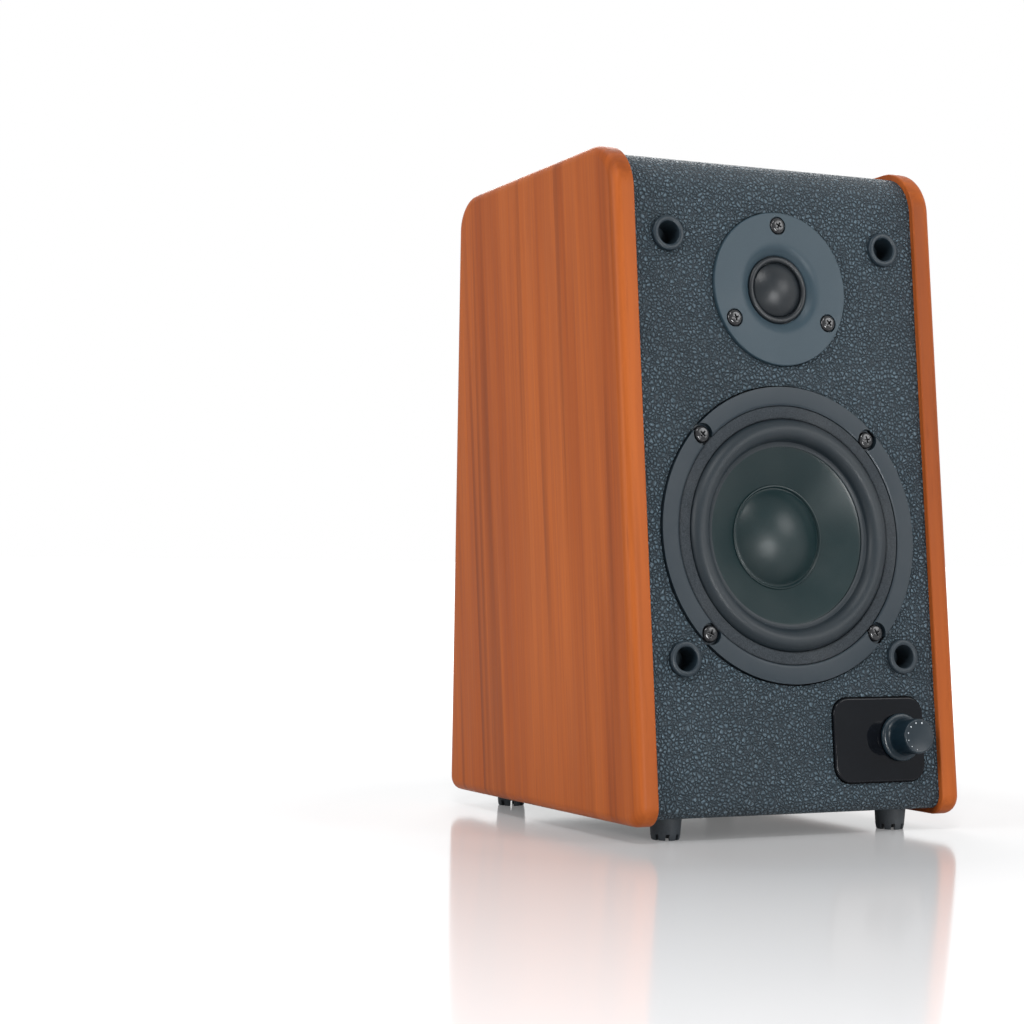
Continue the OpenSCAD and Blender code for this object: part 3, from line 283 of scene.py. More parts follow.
# colour, roughness, grains per metre, variation, bump height, dust, other shader values
finishes = {
    "tweeterPlastic": ((0.022, 0.041, 0.055), 0.42, 3200, 0.10, 0.00002, 0.03, {"Specular IOR Level": 0.22}),
    "ringPlastic": ((0.013, 0.022, 0.030), 0.36, 3200, 0.10, 0.00002, 0.03, {"Specular IOR Level": 0.2}),
    "tweeterFabric": ((0.006, 0.009, 0.012), 0.36, 5200, 0.25, 0.00004, 0.02, {"Specular IOR Level": 0.3}),
    "gasketFoam": ((0.030, 0.036, 0.042), 0.75, 1800, 0.45, 0.00012, 0.05, {"Specular IOR Level": 0.12}),
    "surroundRubber": ((0.012, 0.018, 0.023), 0.46, 1400, 0.12, 0.00002, 0.03, {"Specular IOR Level": 0.24}),
    "coneFinish": ((0.004, 0.015, 0.017), 0.36, 2600, 0.20, 0.00002, 0.02, {"Specular IOR Level": 0.24}),
    "blackScrew": ((0.012, 0.013, 0.015), 0.2, 1500, 0.20, 0.00001, 0.02, {"Metallic": 0.3}),
    "glossBlack": ((0.004, 0.005, 0.007), 0.08, 900, 0.10, 0.000001, 0.005, {"Specular IOR Level": 0.14}),
    "knobBlack": ((0.005, 0.013, 0.020), 0.34, 3000, 0.10, 0.00001, 0.02, {"Specular IOR Level": 0.25}),
    "markWhite": ((0.55, 0.58, 0.62), 0.5, 3000, 0.05, 0.00001, 0.0, {}),
    "footRubber": ((0.022, 0.028, 0.034), 0.55, 1600, 0.20, 0.00004, 0.08, {"Specular IOR Level": 0.3}),
    "blackPlastic": ((0.020, 0.022, 0.024), 0.42, 2600, 0.12, 0.00002, 0.04, {"Specular IOR Level": 0.35}),
    "redPlastic": ((0.46, 0.020, 0.016), 0.38, 2600, 0.08, 0.00001, 0.02, {}),
    "rearPlate": ((0.024, 0.026, 0.029), 0.46, 2200, 0.18, 0.00004, 0.05, {"Metallic": 0.2}),
    "nickel": ((0.62, 0.61, 0.58), 0.22, 900, 0.06, 0.00001, 0.0, {"Metallic": 1.0}),
    "steel": ((0.45, 0.46, 0.47), 0.34, 900, 0.08, 0.00001, 0.03, {"Metallic": 1.0}),
    "ferrite": ((0.045, 0.047, 0.052), 0.6, 1200, 0.20, 0.00004, 0.06, {}),
    "copperCoil": ((0.52, 0.20, 0.075), 0.35, 5200, 0.20, 0.00006, 0.0, {"Metallic": 0.9}),
    "spiderCloth": ((0.42, 0.26, 0.075), 0.8, 2600, 0.35, 0.0001, 0.02, {}),
    "tagStrip": ((0.25, 0.11, 0.045), 0.6, 1500, 0.25, 0.00003, 0.03, {}),
    # near-black board; on the baffle, seen only in the gaps round the drivers, it is painted shade in those gaps
    "blackBoardGapShade": ((0.006, 0.006, 0.007), 0.8, 1300, 0.2, 0.0001, 0.0, {"Specular IOR Level": 0.1}),
    "board": ((0.43, 0.31, 0.18), 0.8, 1300, 0.22, 0.0001, 0.03, {}),
    "wadding": ((0.72, 0.72, 0.68), 0.95, 420, 0.25, 0.0016, 0.0, {"Sheen Weight": 0.4}),
    "circuitBoard": ((0.025, 0.14, 0.045), 0.35, 700, 0.25, 0.00004, 0.02, {}),
    "capSleeve": ((0.018, 0.030, 0.085), 0.3, 900, 0.08, 0.00001, 0.02, {}),
    "heatSink": ((0.55, 0.56, 0.57), 0.38, 2600, 0.10, 0.00003, 0.02, {"Metallic": 0.9}),
    "leadSleeve": ((0.040, 0.043, 0.046), 0.5, 2200, 0.15, 0.00002, 0.02, {}),
}
looks = {"leather": leather, "cherry": cherry}
for name, (colour, rough, grains, variation, height, dust, extra) in finishes.items():
    looks[name] = grainedMaterial(name, "grain", {
        "Color": (*colour, 1), "Grains per metre": float(grains), "Variation": variation,
        "Roughness": rough, "Spread": 0.06, "Dust": dust}, (1.0, height), extra)
print("materials:", len(looks))


# ---- modelling helpers ----

def clearSelection():
    if bpy.context.object and bpy.context.object.mode != "OBJECT":
        bpy.ops.object.mode_set(mode="OBJECT")
    bpy.ops.object.select_all(action="DESELECT")


def only(piece):
    clearSelection()
    piece.select_set(True)
    bpy.context.view_layer.objects.active = piece


def pickFaces(piece, test):  # leaves the piece in edit mode with those faces selected
    only(piece)
    bpy.context.tool_settings.mesh_select_mode = (False, False, True)
    bpy.ops.object.mode_set(mode="EDIT")
    bpy.ops.mesh.select_all(action="DESELECT")
    bpy.ops.object.mode_set(mode="OBJECT")
    for face in piece.data.polygons:
        face.select = test(face)
    bpy.ops.object.mode_set(mode="EDIT")


def applyModifier(piece, kind, **settings):
    only(piece)
    modifier = piece.modifiers.new(kind.lower(), kind)
    for key, value in settings.items():
        setattr(modifier, key, value)
    bpy.ops.object.modifier_apply(modifier=modifier.name)


def soften(piece, width, segments=2, angle=35):  # rounds the sharp edges
    applyModifier(piece, "BEVEL", width=width * mm, segments=segments, limit_method="ANGLE",
                  angle_limit=math.radians(angle), use_clamp_overlap=True, miter_outer="MITER_ARC")


def settle(piece, place=None):
    bpy.context.view_layer.update()
    if place is not None:
        piece.matrix_world = place @ piece.matrix_world
    only(piece)
    bpy.ops.object.transform_apply(location=True, rotation=True, scale=True)
    return piece


def copied(piece, place, name):
    twin = piece.copy()
    twin.data = piece.data.copy()
    twin.name = name
    bpy.context.scene.collection.objects.link(twin)
    return settle(twin, place)


def joined(pieces, name):
    clearSelection()
    for piece in pieces:
        piece.select_set(True)
    bpy.context.view_layer.objects.active = pieces[0]
    if len(pieces) > 1:
        bpy.ops.object.join()
    pieces[0].name = name
    return pieces[0]


def dress(piece, look, body, stands=(), smooth=35, flat=False):  # flat keeps broad faces level
    piece.data.materials.clear()
    piece.data.materials.append(looks[look])
    only(piece)
    bpy.ops.object.shade_smooth_by_angle(angle=math.radians(smooth))
    if flat:
        applyModifier(piece, "WEIGHTED_NORMAL", keep_sharp=True)
    if body:
        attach(piece, body)
    if stands:
        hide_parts(*stands)
    return piece


def turned(name, profile, segments=128):  # profile is [(radius, height)] in mm, closed by its first point
    clearSelection()
    tiny = 0.002
    radius, height = profile[0]
    radius = max(radius, tiny)
    bpy.ops.mesh.primitive_circle_add(vertices=segments, radius=radius * mm, location=(0, 0, height * mm))
    piece = bpy.context.object
    piece.name = name
    bpy.ops.object.mode_set(mode="EDIT")
    bpy.context.tool_settings.mesh_select_mode = (True, True, False)
    bpy.ops.mesh.select_all(action="SELECT")
    for nextRadius, nextHeight in profile[1:]:
        nextRadius = max(nextRadius, tiny)
        bpy.ops.mesh.extrude_edges_move(TRANSFORM_OT_translate={"value": (0, 0, (nextHeight - height) * mm)})
        scale = nextRadius / radius
        bpy.ops.transform.resize(value=(scale, scale, 1), center_override=(0, 0, 0))
        radius, height = nextRadius, nextHeight
    bpy.ops.mesh.select_all(action="SELECT")
    bpy.ops.mesh.remove_doubles(threshold=0.00001)
    bpy.ops.mesh.normals_make_consistent(inside=False)
    bpy.ops.object.mode_set(mode="OBJECT")
    return piece


def ringProfile(points):
    return points + [points[0]]


def arcPoints(centre, radius, start, end, steps):
    return [(centre[0] + radius * math.cos(math.radians(start + (end - start) * i / steps)),
             centre[1] + radius * math.sin(math.radians(start + (end - start) * i / steps)))
            for i in range(steps + 1)]


def cutWith(piece, cutter):
    applyModifier(piece, "BOOLEAN", object=cutter, operation="DIFFERENCE", solver="EXACT")
    bpy.data.objects.remove(cutter)


def drill(radius, low, high, x=0.0, y=0.0, segments=64):
    clearSelection()
    bpy.ops.mesh.primitive_cylinder_add(vertices=segments, radius=radius * mm, depth=(high - low) * mm,
                                        location=(x * mm, y * mm, (low + high) / 2 * mm))
    piece = bpy.context.object
    return settle(piece)


def block(width, height, low, high, x=0.0, y=0.0):
    clearSelection()
    bpy.ops.mesh.primitive_cube_add(size=1, location=(x * mm, y * mm, (low + high) / 2 * mm))
    piece = bpy.context.object
    piece.scale = (width * mm, height * mm, (high - low) * mm)
    return settle(piece)


def roundedSlab(name, width, height, corner, low, high, steps=10):
    clearSelection()
    bpy.ops.mesh.primitive_plane_add(size=1, location=(0, 0, low * mm))
    piece = bpy.context.object
    piece.name = name
    piece.scale = (width * mm, height * mm, 1)
    settle(piece)
    only(piece)
    bpy.context.tool_settings.mesh_select_mode = (True, False, False)
    bpy.ops.object.mode_set(mode="EDIT")
    bpy.ops.mesh.select_all(action="SELECT")
    bpy.ops.mesh.bevel(offset=corner * mm, segments=steps, profile=0.5, affect="VERTICES")
    bpy.ops.mesh.select_all(action="SELECT")
    bpy.ops.mesh.extrude_region_move(TRANSFORM_OT_translate={"value": (0, 0, (high - low) * mm)})
    bpy.ops.mesh.select_all(action="SELECT")
    bpy.ops.mesh.normals_make_consistent(inside=False)
    bpy.ops.object.mode_set(mode="OBJECT")
    return piece


def fromNode(nodeName, name, width, segments=2):  # a merged copy of a machined part, edges softened
    piece = bpy.data.objects.new(name, nodes[nodeName].data.copy())
    bpy.context.scene.collection.objects.link(piece)
    only(piece)
    bpy.ops.object.mode_set(mode="EDIT")
    bpy.ops.mesh.select_all(action="SELECT")
    bpy.ops.mesh.remove_doubles(threshold=0.000002)
    bpy.ops.mesh.dissolve_limited(angle_limit=math.radians(0.5))
    bpy.ops.object.mode_set(mode="OBJECT")
    if width:
        soften(piece, width, segments)
    return piece


# ---- wooden side panels and leather cloth ----

cabinet = {
    "topFall": 4.6,            # degrees that the top falls to the rear
    "panelCorners": (8, 20, 15, 6),   # front low, front top, rear top, rear low
    "panelRound": 4.2,
    "innerEdge": 0.7,
    "clothEdge": 0.3,
}
topAxis = Vector((0, math.sin(math.radians(cabinet["topFall"])), math.cos(math.radians(cabinet["topFall"]))))


def outlineCorners(nodeName):  # (y, z) where the straight sides of a side view meet
    front, top = span(nodeName, frontAxis)[1], span(nodeName, topAxis)[1]
    low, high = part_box(nodeName)

    def meet(a, b):
        (ay, az, ar), (by, bz, br) = a, b
        det = ay * bz - az * by
        return (ar * bz - az * br) / det, (ay * br - ar * by) / det

    frontLine, topLine = (frontAxis.y, frontAxis.z, front), (topAxis.y, topAxis.z, top)
    lowLine, rearLine = (0, 1, low.z), (1, 0, high.y)
    return [meet(frontLine, lowLine), meet(frontLine, topLine),
            meet(rearLine, topLine), meet(rearLine, lowLine)]


def sideProfile(name, nodeName, radii, x):  # a flat face in the YZ plane with its corners rounded
    clearSelection()
    bpy.ops.mesh.primitive_plane_add(size=1)
    piece = bpy.context.object
    piece.name = name
    corners = outlineCorners(nodeName)
    for index, (a, b) in zip((0, 2, 3, 1), corners):  # a plane's corners go round as 0, 1, 3, 2
        piece.data.vertices[index].co = (x, a, b)
    for place, (radius, corner) in enumerate(zip(radii, corners)):
        only(piece)
        before, after = Vector(corners[place - 1]), Vector(corners[(place + 1) % 4])
        here = Vector(corner)
        half = (before - here).angle(after - here) / 2
        bpy.context.tool_settings.mesh_select_mode = (True, False, False)
        bpy.ops.object.mode_set(mode="EDIT")
        bpy.ops.mesh.select_all(action="DESELECT")
        bpy.ops.object.mode_set(mode="OBJECT")
        for v in piece.data.vertices:
            v.select = (Vector((v.co.y, v.co.z)) - here).length < 0.0001
        bpy.ops.object.mode_set(mode="EDIT")
        bpy.ops.mesh.bevel(offset=radius * mm / math.tan(half), segments=18, profile=0.5, affect="VERTICES")
        bpy.ops.object.mode_set(mode="OBJECT")
    return piece


def extrudeAlongX(piece, width):
    only(piece)
    bpy.ops.object.mode_set(mode="EDIT")
    bpy.ops.mesh.select_all(action="SELECT")
    bpy.ops.mesh.extrude_region_move(TRANSFORM_OT_translate={"value": (width, 0, 0)})
    bpy.ops.mesh.select_all(action="SELECT")
    bpy.ops.mesh.normals_make_consistent(inside=False)
    bpy.ops.object.mode_set(mode="OBJECT")


def roundRim(piece, x, width, segments):  # bevels the rim of the flat face that lies at x
    pickFaces(piece, lambda face: abs(abs(face.normal.x) - 1) < 0.01 and abs(face.center.x - x) < 0.0002)
    bpy.ops.mesh.region_to_loop()
    bpy.ops.mesh.bevel(offset=width * mm, segments=segments, profile=0.5, affect="EDGES")
    bpy.ops.object.mode_set(mode="OBJECT")


for side, nodeName in (("left", "left_side_panel"), ("right", "right_side_panel")):
    low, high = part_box(nodeName)
    panel = sideProfile(side + "SidePanel", nodeName, cabinet["panelCorners"], low.x)
    extrudeAlongX(panel, high.x - low.x)
    outer, inner = (low.x, high.x) if side == "left" else (high.x, low.x)
    roundRim(panel, outer, cabinet["panelRound"], 7)
    roundRim(panel, inner, cabinet["innerEdge"], 3)
    dress(panel, "cherry", "cabinet", [nodeName], 40, True)

wrap = fromNode("leatherette_wrap", "leatherWrap", cabinet["clothEdge"])
dress(wrap, "leather", "cabinet", ["leatherette_wrap"], 40)
print("cabinet done")

# ---- screws ----

screwShape = {"headHeight": 2.0, "edge": 1.4, "slotWide": 0.85, "slotLong": 0.62, "slotDeep": 1.15}


def panScrew(name, headRadius):
    edge, height = screwShape["edge"], screwShape["headHeight"]
    rim = arcPoints((headRadius - edge, 0.6), edge, -15, 82, 8)
    screw = turned(name, [(0, 0.05), (headRadius - 0.15, 0.05)] + rim
                   + [(headRadius * 0.3, height + 0.08), (0, height + 0.1)], 64)
    for turn in (0, 90):
        slot = block(headRadius * 2 * screwShape["slotLong"], screwShape["slotWide"],
                     height - screwShape["slotDeep"], height + 2)
        pickFaces(slot, lambda face: face.normal.z < -0.5)
        bpy.ops.transform.resize(value=(0.45, 0.55, 1), center_override=(0, 0, 0))
        bpy.ops.object.mode_set(mode="OBJECT")
        settle(slot, Matrix.Rotation(math.radians(turn), 4, "Z"))
        cutWith(screw, slot)
    soften(screw, 0.08, 2, 40)
    return screw


def screwSet(name, headRadius, places, node, turns=(12, 47, 71, 28, 85, 5)):  # turns of the heads, in degrees
    model = panScrew(name + "Model", headRadius)
    copies = []
    for i, place in enumerate(places):
        turn = Matrix.Rotation(math.radians(turns[i % len(turns)]), 4, "Z")
        copies.append(copied(model, place @ turn, "%s%d" % (name, i)))
    bpy.data.objects.remove(model)
    return dress(joined(copies, name), "blackScrew", "cabinet", [node], 35)


def polar(radius, angle, height=0.0):
    return Matrix.Translation((radius * math.cos(math.radians(angle)) * mm,
                               radius * math.sin(math.radians(angle)) * mm, height * mm))


# ---- woofer ----

woofer = {
    "ring": (52.45, 60.0), "ringLow": -1.8, "ringTop": 1.1, "screwCircle": 56.0, "pocket": 4.4,
    "pocketFloor": -1.2, "gasket": (47.1, 52.3), "gasketTop": 0.7, "coneRadius": 36.6,
    "coneEdge": -1.82, "neckRadius": 12.85, "neckHeight": -13.4, "conePower": 1.06,
    "capRadius": 19.7, "capRing": 21.2, "capHeight": 6.4, "headRadius": 3.5,
    "coneSkin": 0.7, "capSkin": 0.5, "rollSkin": 0.5, "spiderOuter": 33.8, "spiderInner": 14.0,
    "screwAngles": (45, 135, 225, 315),
}
wooferPlace = frontPlace("woofer_trim_ring")
ringIn, ringOut = woofer["ring"]
trim = turned("wooferTrimRing", ringProfile([
    (ringIn, woofer["ringLow"]), (ringOut, woofer["ringLow"]), (ringOut, woofer["ringTop"]),
    (ringIn + 1.0, woofer["ringTop"]), (ringIn, woofer["ringTop"] - 0.5)]), 192)
for angle in woofer["screwAngles"]:
    pocket = drill(woofer["pocket"], woofer["pocketFloor"], 6)
    settle(pocket, polar(woofer["screwCircle"], angle))
    cutWith(trim, pocket)
soften(trim, 0.3, 3, 30)
dress(settle(trim, wooferPlace), "ringPlastic", "cabinet", ["woofer_trim_ring"], 40, True)

gasketIn, gasketOut = woofer["gasket"]
gasket = turned("wooferGasket", ringProfile([
    (gasketIn, -1.3), (gasketOut, -1.3), (gasketOut, 0.1), (gasketOut - 0.35, woofer["gasketTop"] - 0.1),
    (gasketOut - 0.8, woofer["gasketTop"]), (gasketIn + 0.8, woofer["gasketTop"]),
    (gasketIn + 0.3, woofer["gasketTop"] - 0.12), (gasketIn, 0.1)]), 160)
dress(settle(gasket, wooferPlace), "gasketFoam", "cabinet", ["woofer_gasket"], 50)


def coneHeight(radius):
    share = (woofer["coneRadius"] - radius) / (woofer["coneRadius"] - woofer["neckRadius"])
    return woofer["coneEdge"] + (woofer["neckHeight"] - woofer["coneEdge"]) * share ** woofer["conePower"]


radii = [woofer["coneRadius"] + (woofer["neckRadius"] - woofer["coneRadius"]) * i / 16 for i in range(17)]
cone = turned("wooferCone", ringProfile(
    [(woofer["coneRadius"] + 1.5, woofer["coneEdge"] - woofer["coneSkin"]),
     (woofer["coneRadius"] + 1.5, woofer["coneEdge"])]
    + [(r, coneHeight(r)) for r in radii]
    + [(woofer["neckRadius"], woofer["neckHeight"] - 2.6),
       (woofer["neckRadius"] + woofer["coneSkin"], woofer["neckHeight"] - 2.6)]
    + [(r + 0.3, coneHeight(r) - woofer["coneSkin"]) for r in reversed(radii)]), 160)
dress(settle(cone, wooferPlace), "coneFinish", "woofer_cone", ["woofer_cone"], 35)

capR, capH, capRing = woofer["capRadius"], woofer["capHeight"], woofer["capRing"]
capBase = coneHeight(capR) + 0.35
bigR = (capR * capR + capH * capH) / (2 * capH)
opening = math.degrees(math.acos((bigR - capH) / bigR))
capCentre = (0, capBase + capH - bigR)
cap = turned("wooferDustCap", ringProfile(
    arcPoints(capCentre, bigR, 90, 90 - opening, 20)
    + [(capR + 0.25, coneHeight(capR + 0.25) + 0.22), (capR + 0.6, coneHeight(capR + 0.6) + 0.62),
       (capRing - 0.55, coneHeight(capRing - 0.55) + 0.72), (capRing - 0.2, coneHeight(capRing - 0.2) + 0.5),
       (capRing, coneHeight(capRing) + 0.03), (capR, coneHeight(capR) + 0.03)]
    + arcPoints(capCentre, bigR - woofer["capSkin"], 90 - opening, 90, 12)), 160)
dress(settle(cap, wooferPlace), "coneFinish", "woofer_cone", ["woofer_dust_cap"], 35)


def stretchBetween(piece):
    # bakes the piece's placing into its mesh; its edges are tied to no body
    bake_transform(piece)


rollIn = woofer["coneRadius"] + 1.4
rollMid, rollSize = (gasketIn + rollIn) / 2, (gasketIn - rollIn) / 2
surround = turned("wooferSurround", ringProfile(
    [(gasketOut, -1.8), (gasketOut, -1.3), (gasketIn, -1.3)]
    + arcPoints((rollMid, -1.3), rollSize, 6, 174, 26)
    + [(rollIn - 0.25, -1.25), (woofer["coneRadius"] - 0.6, -1.4), (woofer["coneRadius"] - 0.6, -1.8)]
    + arcPoints((rollMid, -1.32), rollSize - woofer["rollSkin"], 180, 0, 22)
    + [(gasketIn - 0.5, -1.8)]), 160)
settle(surround, wooferPlace)
dress(surround, "surroundRubber", None, ["woofer_surround"], 60)
stretchBetween(surround)

spider = fromNode("woofer_spider", "wooferSpider", 0)
dress(spider, "spiderCloth", None, ["woofer_spider"], 60)
stretchBetween(spider)

screwSet("wooferScrews", woofer["headRadius"],
         [wooferPlace @ polar(woofer["screwCircle"], a, woofer["pocketFloor"])
          for a in woofer["screwAngles"]],
         "woofer_screws")
print("woofer done")

# ---- tweeter ----

tweeter = {
    "plate": 31.5, "plateLow": -2.6, "plateTop": 1.4, "mouth": 17.2, "throat": 14.1,
    "screwCircle": 26.0, "pocket": 3.8, "pocketDeep": 1.2, "headRadius": 3.4,
    "domeRadius": 11.2, "domeBase": -1.4, "domeHeight": 4.4, "skin": 0.3, "screwAngles": (90, 210, 330),
}
tweeterPlace = frontPlace("tweeter_faceplate")
top, base = tweeter["plateTop"], tweeter["domeBase"]
mouth, throat, skin = tweeter["mouth"], tweeter["throat"], tweeter["skin"]
plate = turned("tweeterFaceplate", ringProfile([
    (throat + 3.1, tweeter["plateLow"]), (tweeter["plate"], tweeter["plateLow"]),
    (tweeter["plate"], top - 0.45), (tweeter["plate"] - 0.12, top - 0.16), (tweeter["plate"] - 0.4, top),
    (mouth + 2.6, top), (mouth + 1.2, top - 0.1), (mouth + 0.2, top - 0.32), (mouth - 0.7, top - 0.72),
    (mouth - 1.5, top - 1.2), (throat + 0.9, base + 1.05), (throat + 0.35, base + 0.75), (throat, base + 0.3),
    (throat, tweeter["plateLow"] + 0.8), (throat + 3.1, tweeter["plateLow"] + 0.8)]), 160)
for angle in tweeter["screwAngles"]:
    pocket = drill(tweeter["pocket"], top - tweeter["pocketDeep"], 6)
    settle(pocket, polar(tweeter["screwCircle"], angle))
    cutWith(plate, pocket)
dress(settle(plate, tweeterPlace), "tweeterPlastic", "cabinet", ["tweeter_faceplate"], 24)

domeR, domeH = tweeter["domeRadius"], tweeter["domeHeight"]
rollMid, rollSize = (domeR + throat) / 2, (throat - domeR) / 2 - 0.1
edge = turned("tweeterSurround", ringProfile(
    [(throat + 3, -2.6), (throat + 3, -2.2), (throat, -2.2), (throat, base)]
    + arcPoints((rollMid, base), rollSize, 0, 180, 14)
    + [(domeR + 0.05, base), (domeR + 0.05, base - skin)]
    + arcPoints((rollMid, base), rollSize - skin, 180, 0, 12)
    + [(throat - skin, base - skin), (throat - skin, -2.6)]), 128)
settle(edge, tweeterPlace)
dress(edge, "tweeterFabric", None, ["tweeter_surround"], 60)
stretchBetween(edge)

bigR = (domeR * domeR + domeH * domeH) / (2 * domeH)
opening = math.degrees(math.acos((bigR - domeH) / bigR))
domeCentre = (0, base + domeH - bigR)
dome = turned("tweeterDome", ringProfile(
    arcPoints(domeCentre, bigR, 90, 90 - opening, 20) + [(domeR, base - skin)]
    + [(r, max(h, base - skin)) for r, h in arcPoints(domeCentre, bigR - skin, 90 - opening, 90, 14)]), 128)
dress(settle(dome, tweeterPlace), "tweeterFabric", "tweeter_dome", ["tweeter_dome"], 60)
screwSet("tweeterScrews", tweeter["headRadius"],
         [tweeterPlace @ polar(tweeter["screwCircle"], a, top - tweeter["pocketDeep"])
          for a in tweeter["screwAngles"]],
         "tweeter_screws", turns=(62, 15, 38))
print("tweeter done")

# ---- grille sockets ----

socket = {"flange": 7.15, "stem": 6.05, "bore": 4.75, "height": 2.0, "floor": -9.0, "end": -12.0}
for corner in ("top_left", "top_right", "low_left", "low_right"):
    nodeName = "grille_socket_" + corner
    piece = turned("grilleSocket" + corner.title().replace("_", ""), [
        (0, socket["floor"]), (socket["bore"], socket["floor"]), (socket["bore"], socket["height"] - 0.75),
        (socket["bore"] + 0.12, socket["height"] - 0.3), (socket["bore"] + 0.5, socket["height"] - 0.05),
        (socket["bore"] + 0.9, socket["height"]), (socket["flange"] - 0.7, socket["height"] - 0.02),
        (socket["flange"] - 0.3, socket["height"] - 0.2), (socket["flange"] - 0.06, socket["height"] - 0.55),
        (socket["flange"], socket["height"] - 0.9), (socket["flange"], 0), (socket["stem"], 0),
        (socket["stem"], socket["end"]), (0, socket["end"])], 96)
    dress(settle(piece, frontPlace(nodeName)), "ringPlastic", "cabinet", [nodeName], 40)

# ---- volume control ----

volume = {
    "plateWide": 44, "plateHigh": 34, "plateCorner": 7, "plateTop": 1.2, "bush": 4.05,
    "faceRadius": 7.1, "footRadius": 9.7, "footLow": 1.6, "footHigh": 3.2, "reach": 14.5,
    "hollow": 6.7, "hollowTop": 4.8, "shaftHole": 3.03, "shaftTop": 12.35,
    "dotCircle": 5.5, "dotFirst": -103, "dotStep": -30.6,
    "dotSizes": (0.18, 0.2, 0.22, 0.25, 0.28, 0.31, 0.34),
}
platePlace, knobPlace = frontPlace("volume_plate"), frontPlace("volume_knob")
glossPlate = roundedSlab("volumePlate", volume["plateWide"], volume["plateHigh"], volume["plateCorner"],
                         -1, volume["plateTop"], 14)
pickFaces(glossPlate, lambda face: face.normal.z > 0.9)
bpy.ops.mesh.region_to_loop()
bpy.ops.mesh.bevel(offset=0.7 * mm, segments=5, profile=0.5, affect="EDGES")
bpy.ops.object.mode_set(mode="OBJECT")
settle(glossPlate, platePlace)
bushHole = settle(drill(volume["bush"], -6, 6), knobPlace)
cutWith(glossPlate, bushHole)
dress(glossPlate, "glossBlack", "cabinet", ["volume_plate"], 40, True)

face, foot, reach = volume["faceRadius"], volume["footRadius"], volume["reach"]
low, high = volume["footLow"], volume["footHigh"]
sweep = foot - face - 0.4
knob = turned("volumeKnob", [
    (volume["hollow"], low), (foot - 0.3, low), (foot, low + 0.3), (foot, high - 0.6),
    (foot - 0.12, high - 0.25), (foot - 0.4, high)]
    + arcPoints((foot - 0.4, high + sweep), sweep, 262, 182, 8)
    + [(face, high + sweep + 0.4), (face, reach - 0.6), (face - 0.12, reach - 0.25),
       (face - 0.35, reach - 0.06), (face - 0.6, reach), (face - 1.0, reach - 0.12),
       (0, reach - 0.12), (0, volume["shaftTop"]),
       (volume["shaftHole"], volume["shaftTop"]), (volume["shaftHole"], volume["hollowTop"]),
       (volume["hollow"], volume["hollowTop"]), (volume["hollow"], low)], 144)
dress(settle(knob, knobPlace), "knobBlack", "volume_knob", ["volume_knob"], 35)

dots = []
for i, size in enumerate(volume["dotSizes"]):
    dot = turned("dot%d" % i, [
        (0, reach - 0.2), (size, reach - 0.2), (size, reach - 0.06), (size * 0.8, reach - 0.02),
        (0, reach - 0.02)], 20)
    spot = polar(volume["dotCircle"], volume["dotFirst"] + volume["dotStep"] * i)
    dots.append(settle(dot, knobPlace @ spot))
dress(joined(dots, "knobDots"), "markWhite", "volume_knob", (), 40)
print("front fittings done")

# ---- feet ----

footShape = {"top": 6.4, "bottom": 5.6, "slot": 1.6, "slotHigh": 2.4, "hole": 3.3, "holeHigh": 6.0,
             "screwHole": 1.65}
for corner in ("front_left", "front_right", "rear_left", "rear_right"):
    nodeName = "foot_" + corner
    lowest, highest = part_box(nodeName)
    tall = (highest.z - lowest.z) / mm
    wide, bottom = footShape["top"], footShape["bottom"]
    rubber = turned("foot" + corner.title().replace("_", ""), [
        (0, 0), (bottom - 0.5, 0), (bottom - 0.15, 0.12), (bottom, 0.5), (bottom + 0.3, 2.2),
        (wide - 0.1, tall - 1.6), (wide, tall - 0.6), (wide, tall), (0, tall)], 96)
    for angle in (22.5, 67.5, 112.5, 157.5):
        notch = block(20, footShape["slot"], -1, footShape["slotHigh"])
        settle(notch, Matrix.Rotation(math.radians(angle), 4, "Z"))
        cutWith(rubber, notch)
    cutWith(rubber, drill(footShape["hole"], -1, footShape["holeHigh"]))
    cutWith(rubber, drill(footShape["screwHole"], -1, tall + 1))
    soften(rubber, 0.22, 2, 40)
    middle = boxMiddle(nodeName)
    settle(rubber, Matrix.Translation((middle.x, middle.y, lowest.z)))
    dress(rubber, "footRubber", "cabinet", [nodeName], 35)

# ---- rear ----

rear = {
    "plateTop": 2.0, "portFlange": 26.0, "portBore": 18.0, "portWall": 2.0, "portLength": 78.0,
    "portTop": 2.4, "barrel": 4.15, "collar": 5.45, "collarHigh": 4.0, "barrelTop": 12.0, "pin": 1.6,
    "headRadius": 3.5, "screwInset": 4.5,
}
portMiddle = boxMiddle("port_tube")
flange, bore, lip = rear["portFlange"], rear["portBore"], rear["portTop"]
port = turned("portTube", ringProfile(
    [(bore, -rear["portLength"]), (bore + rear["portWall"], -rear["portLength"]),
     (bore + rear["portWall"], 0), (flange, 0),
     (flange, lip - 0.8), (flange - 0.2, lip - 0.3), (flange - 0.8, lip)]
    + arcPoints((bore + 5, lip - 5), 5, 90, 180, 14)), 144)
dress(settle(port, rearPlace(portMiddle.x, portMiddle.z)), "blackPlastic", "cabinet",
      ["port_tube"], 35)

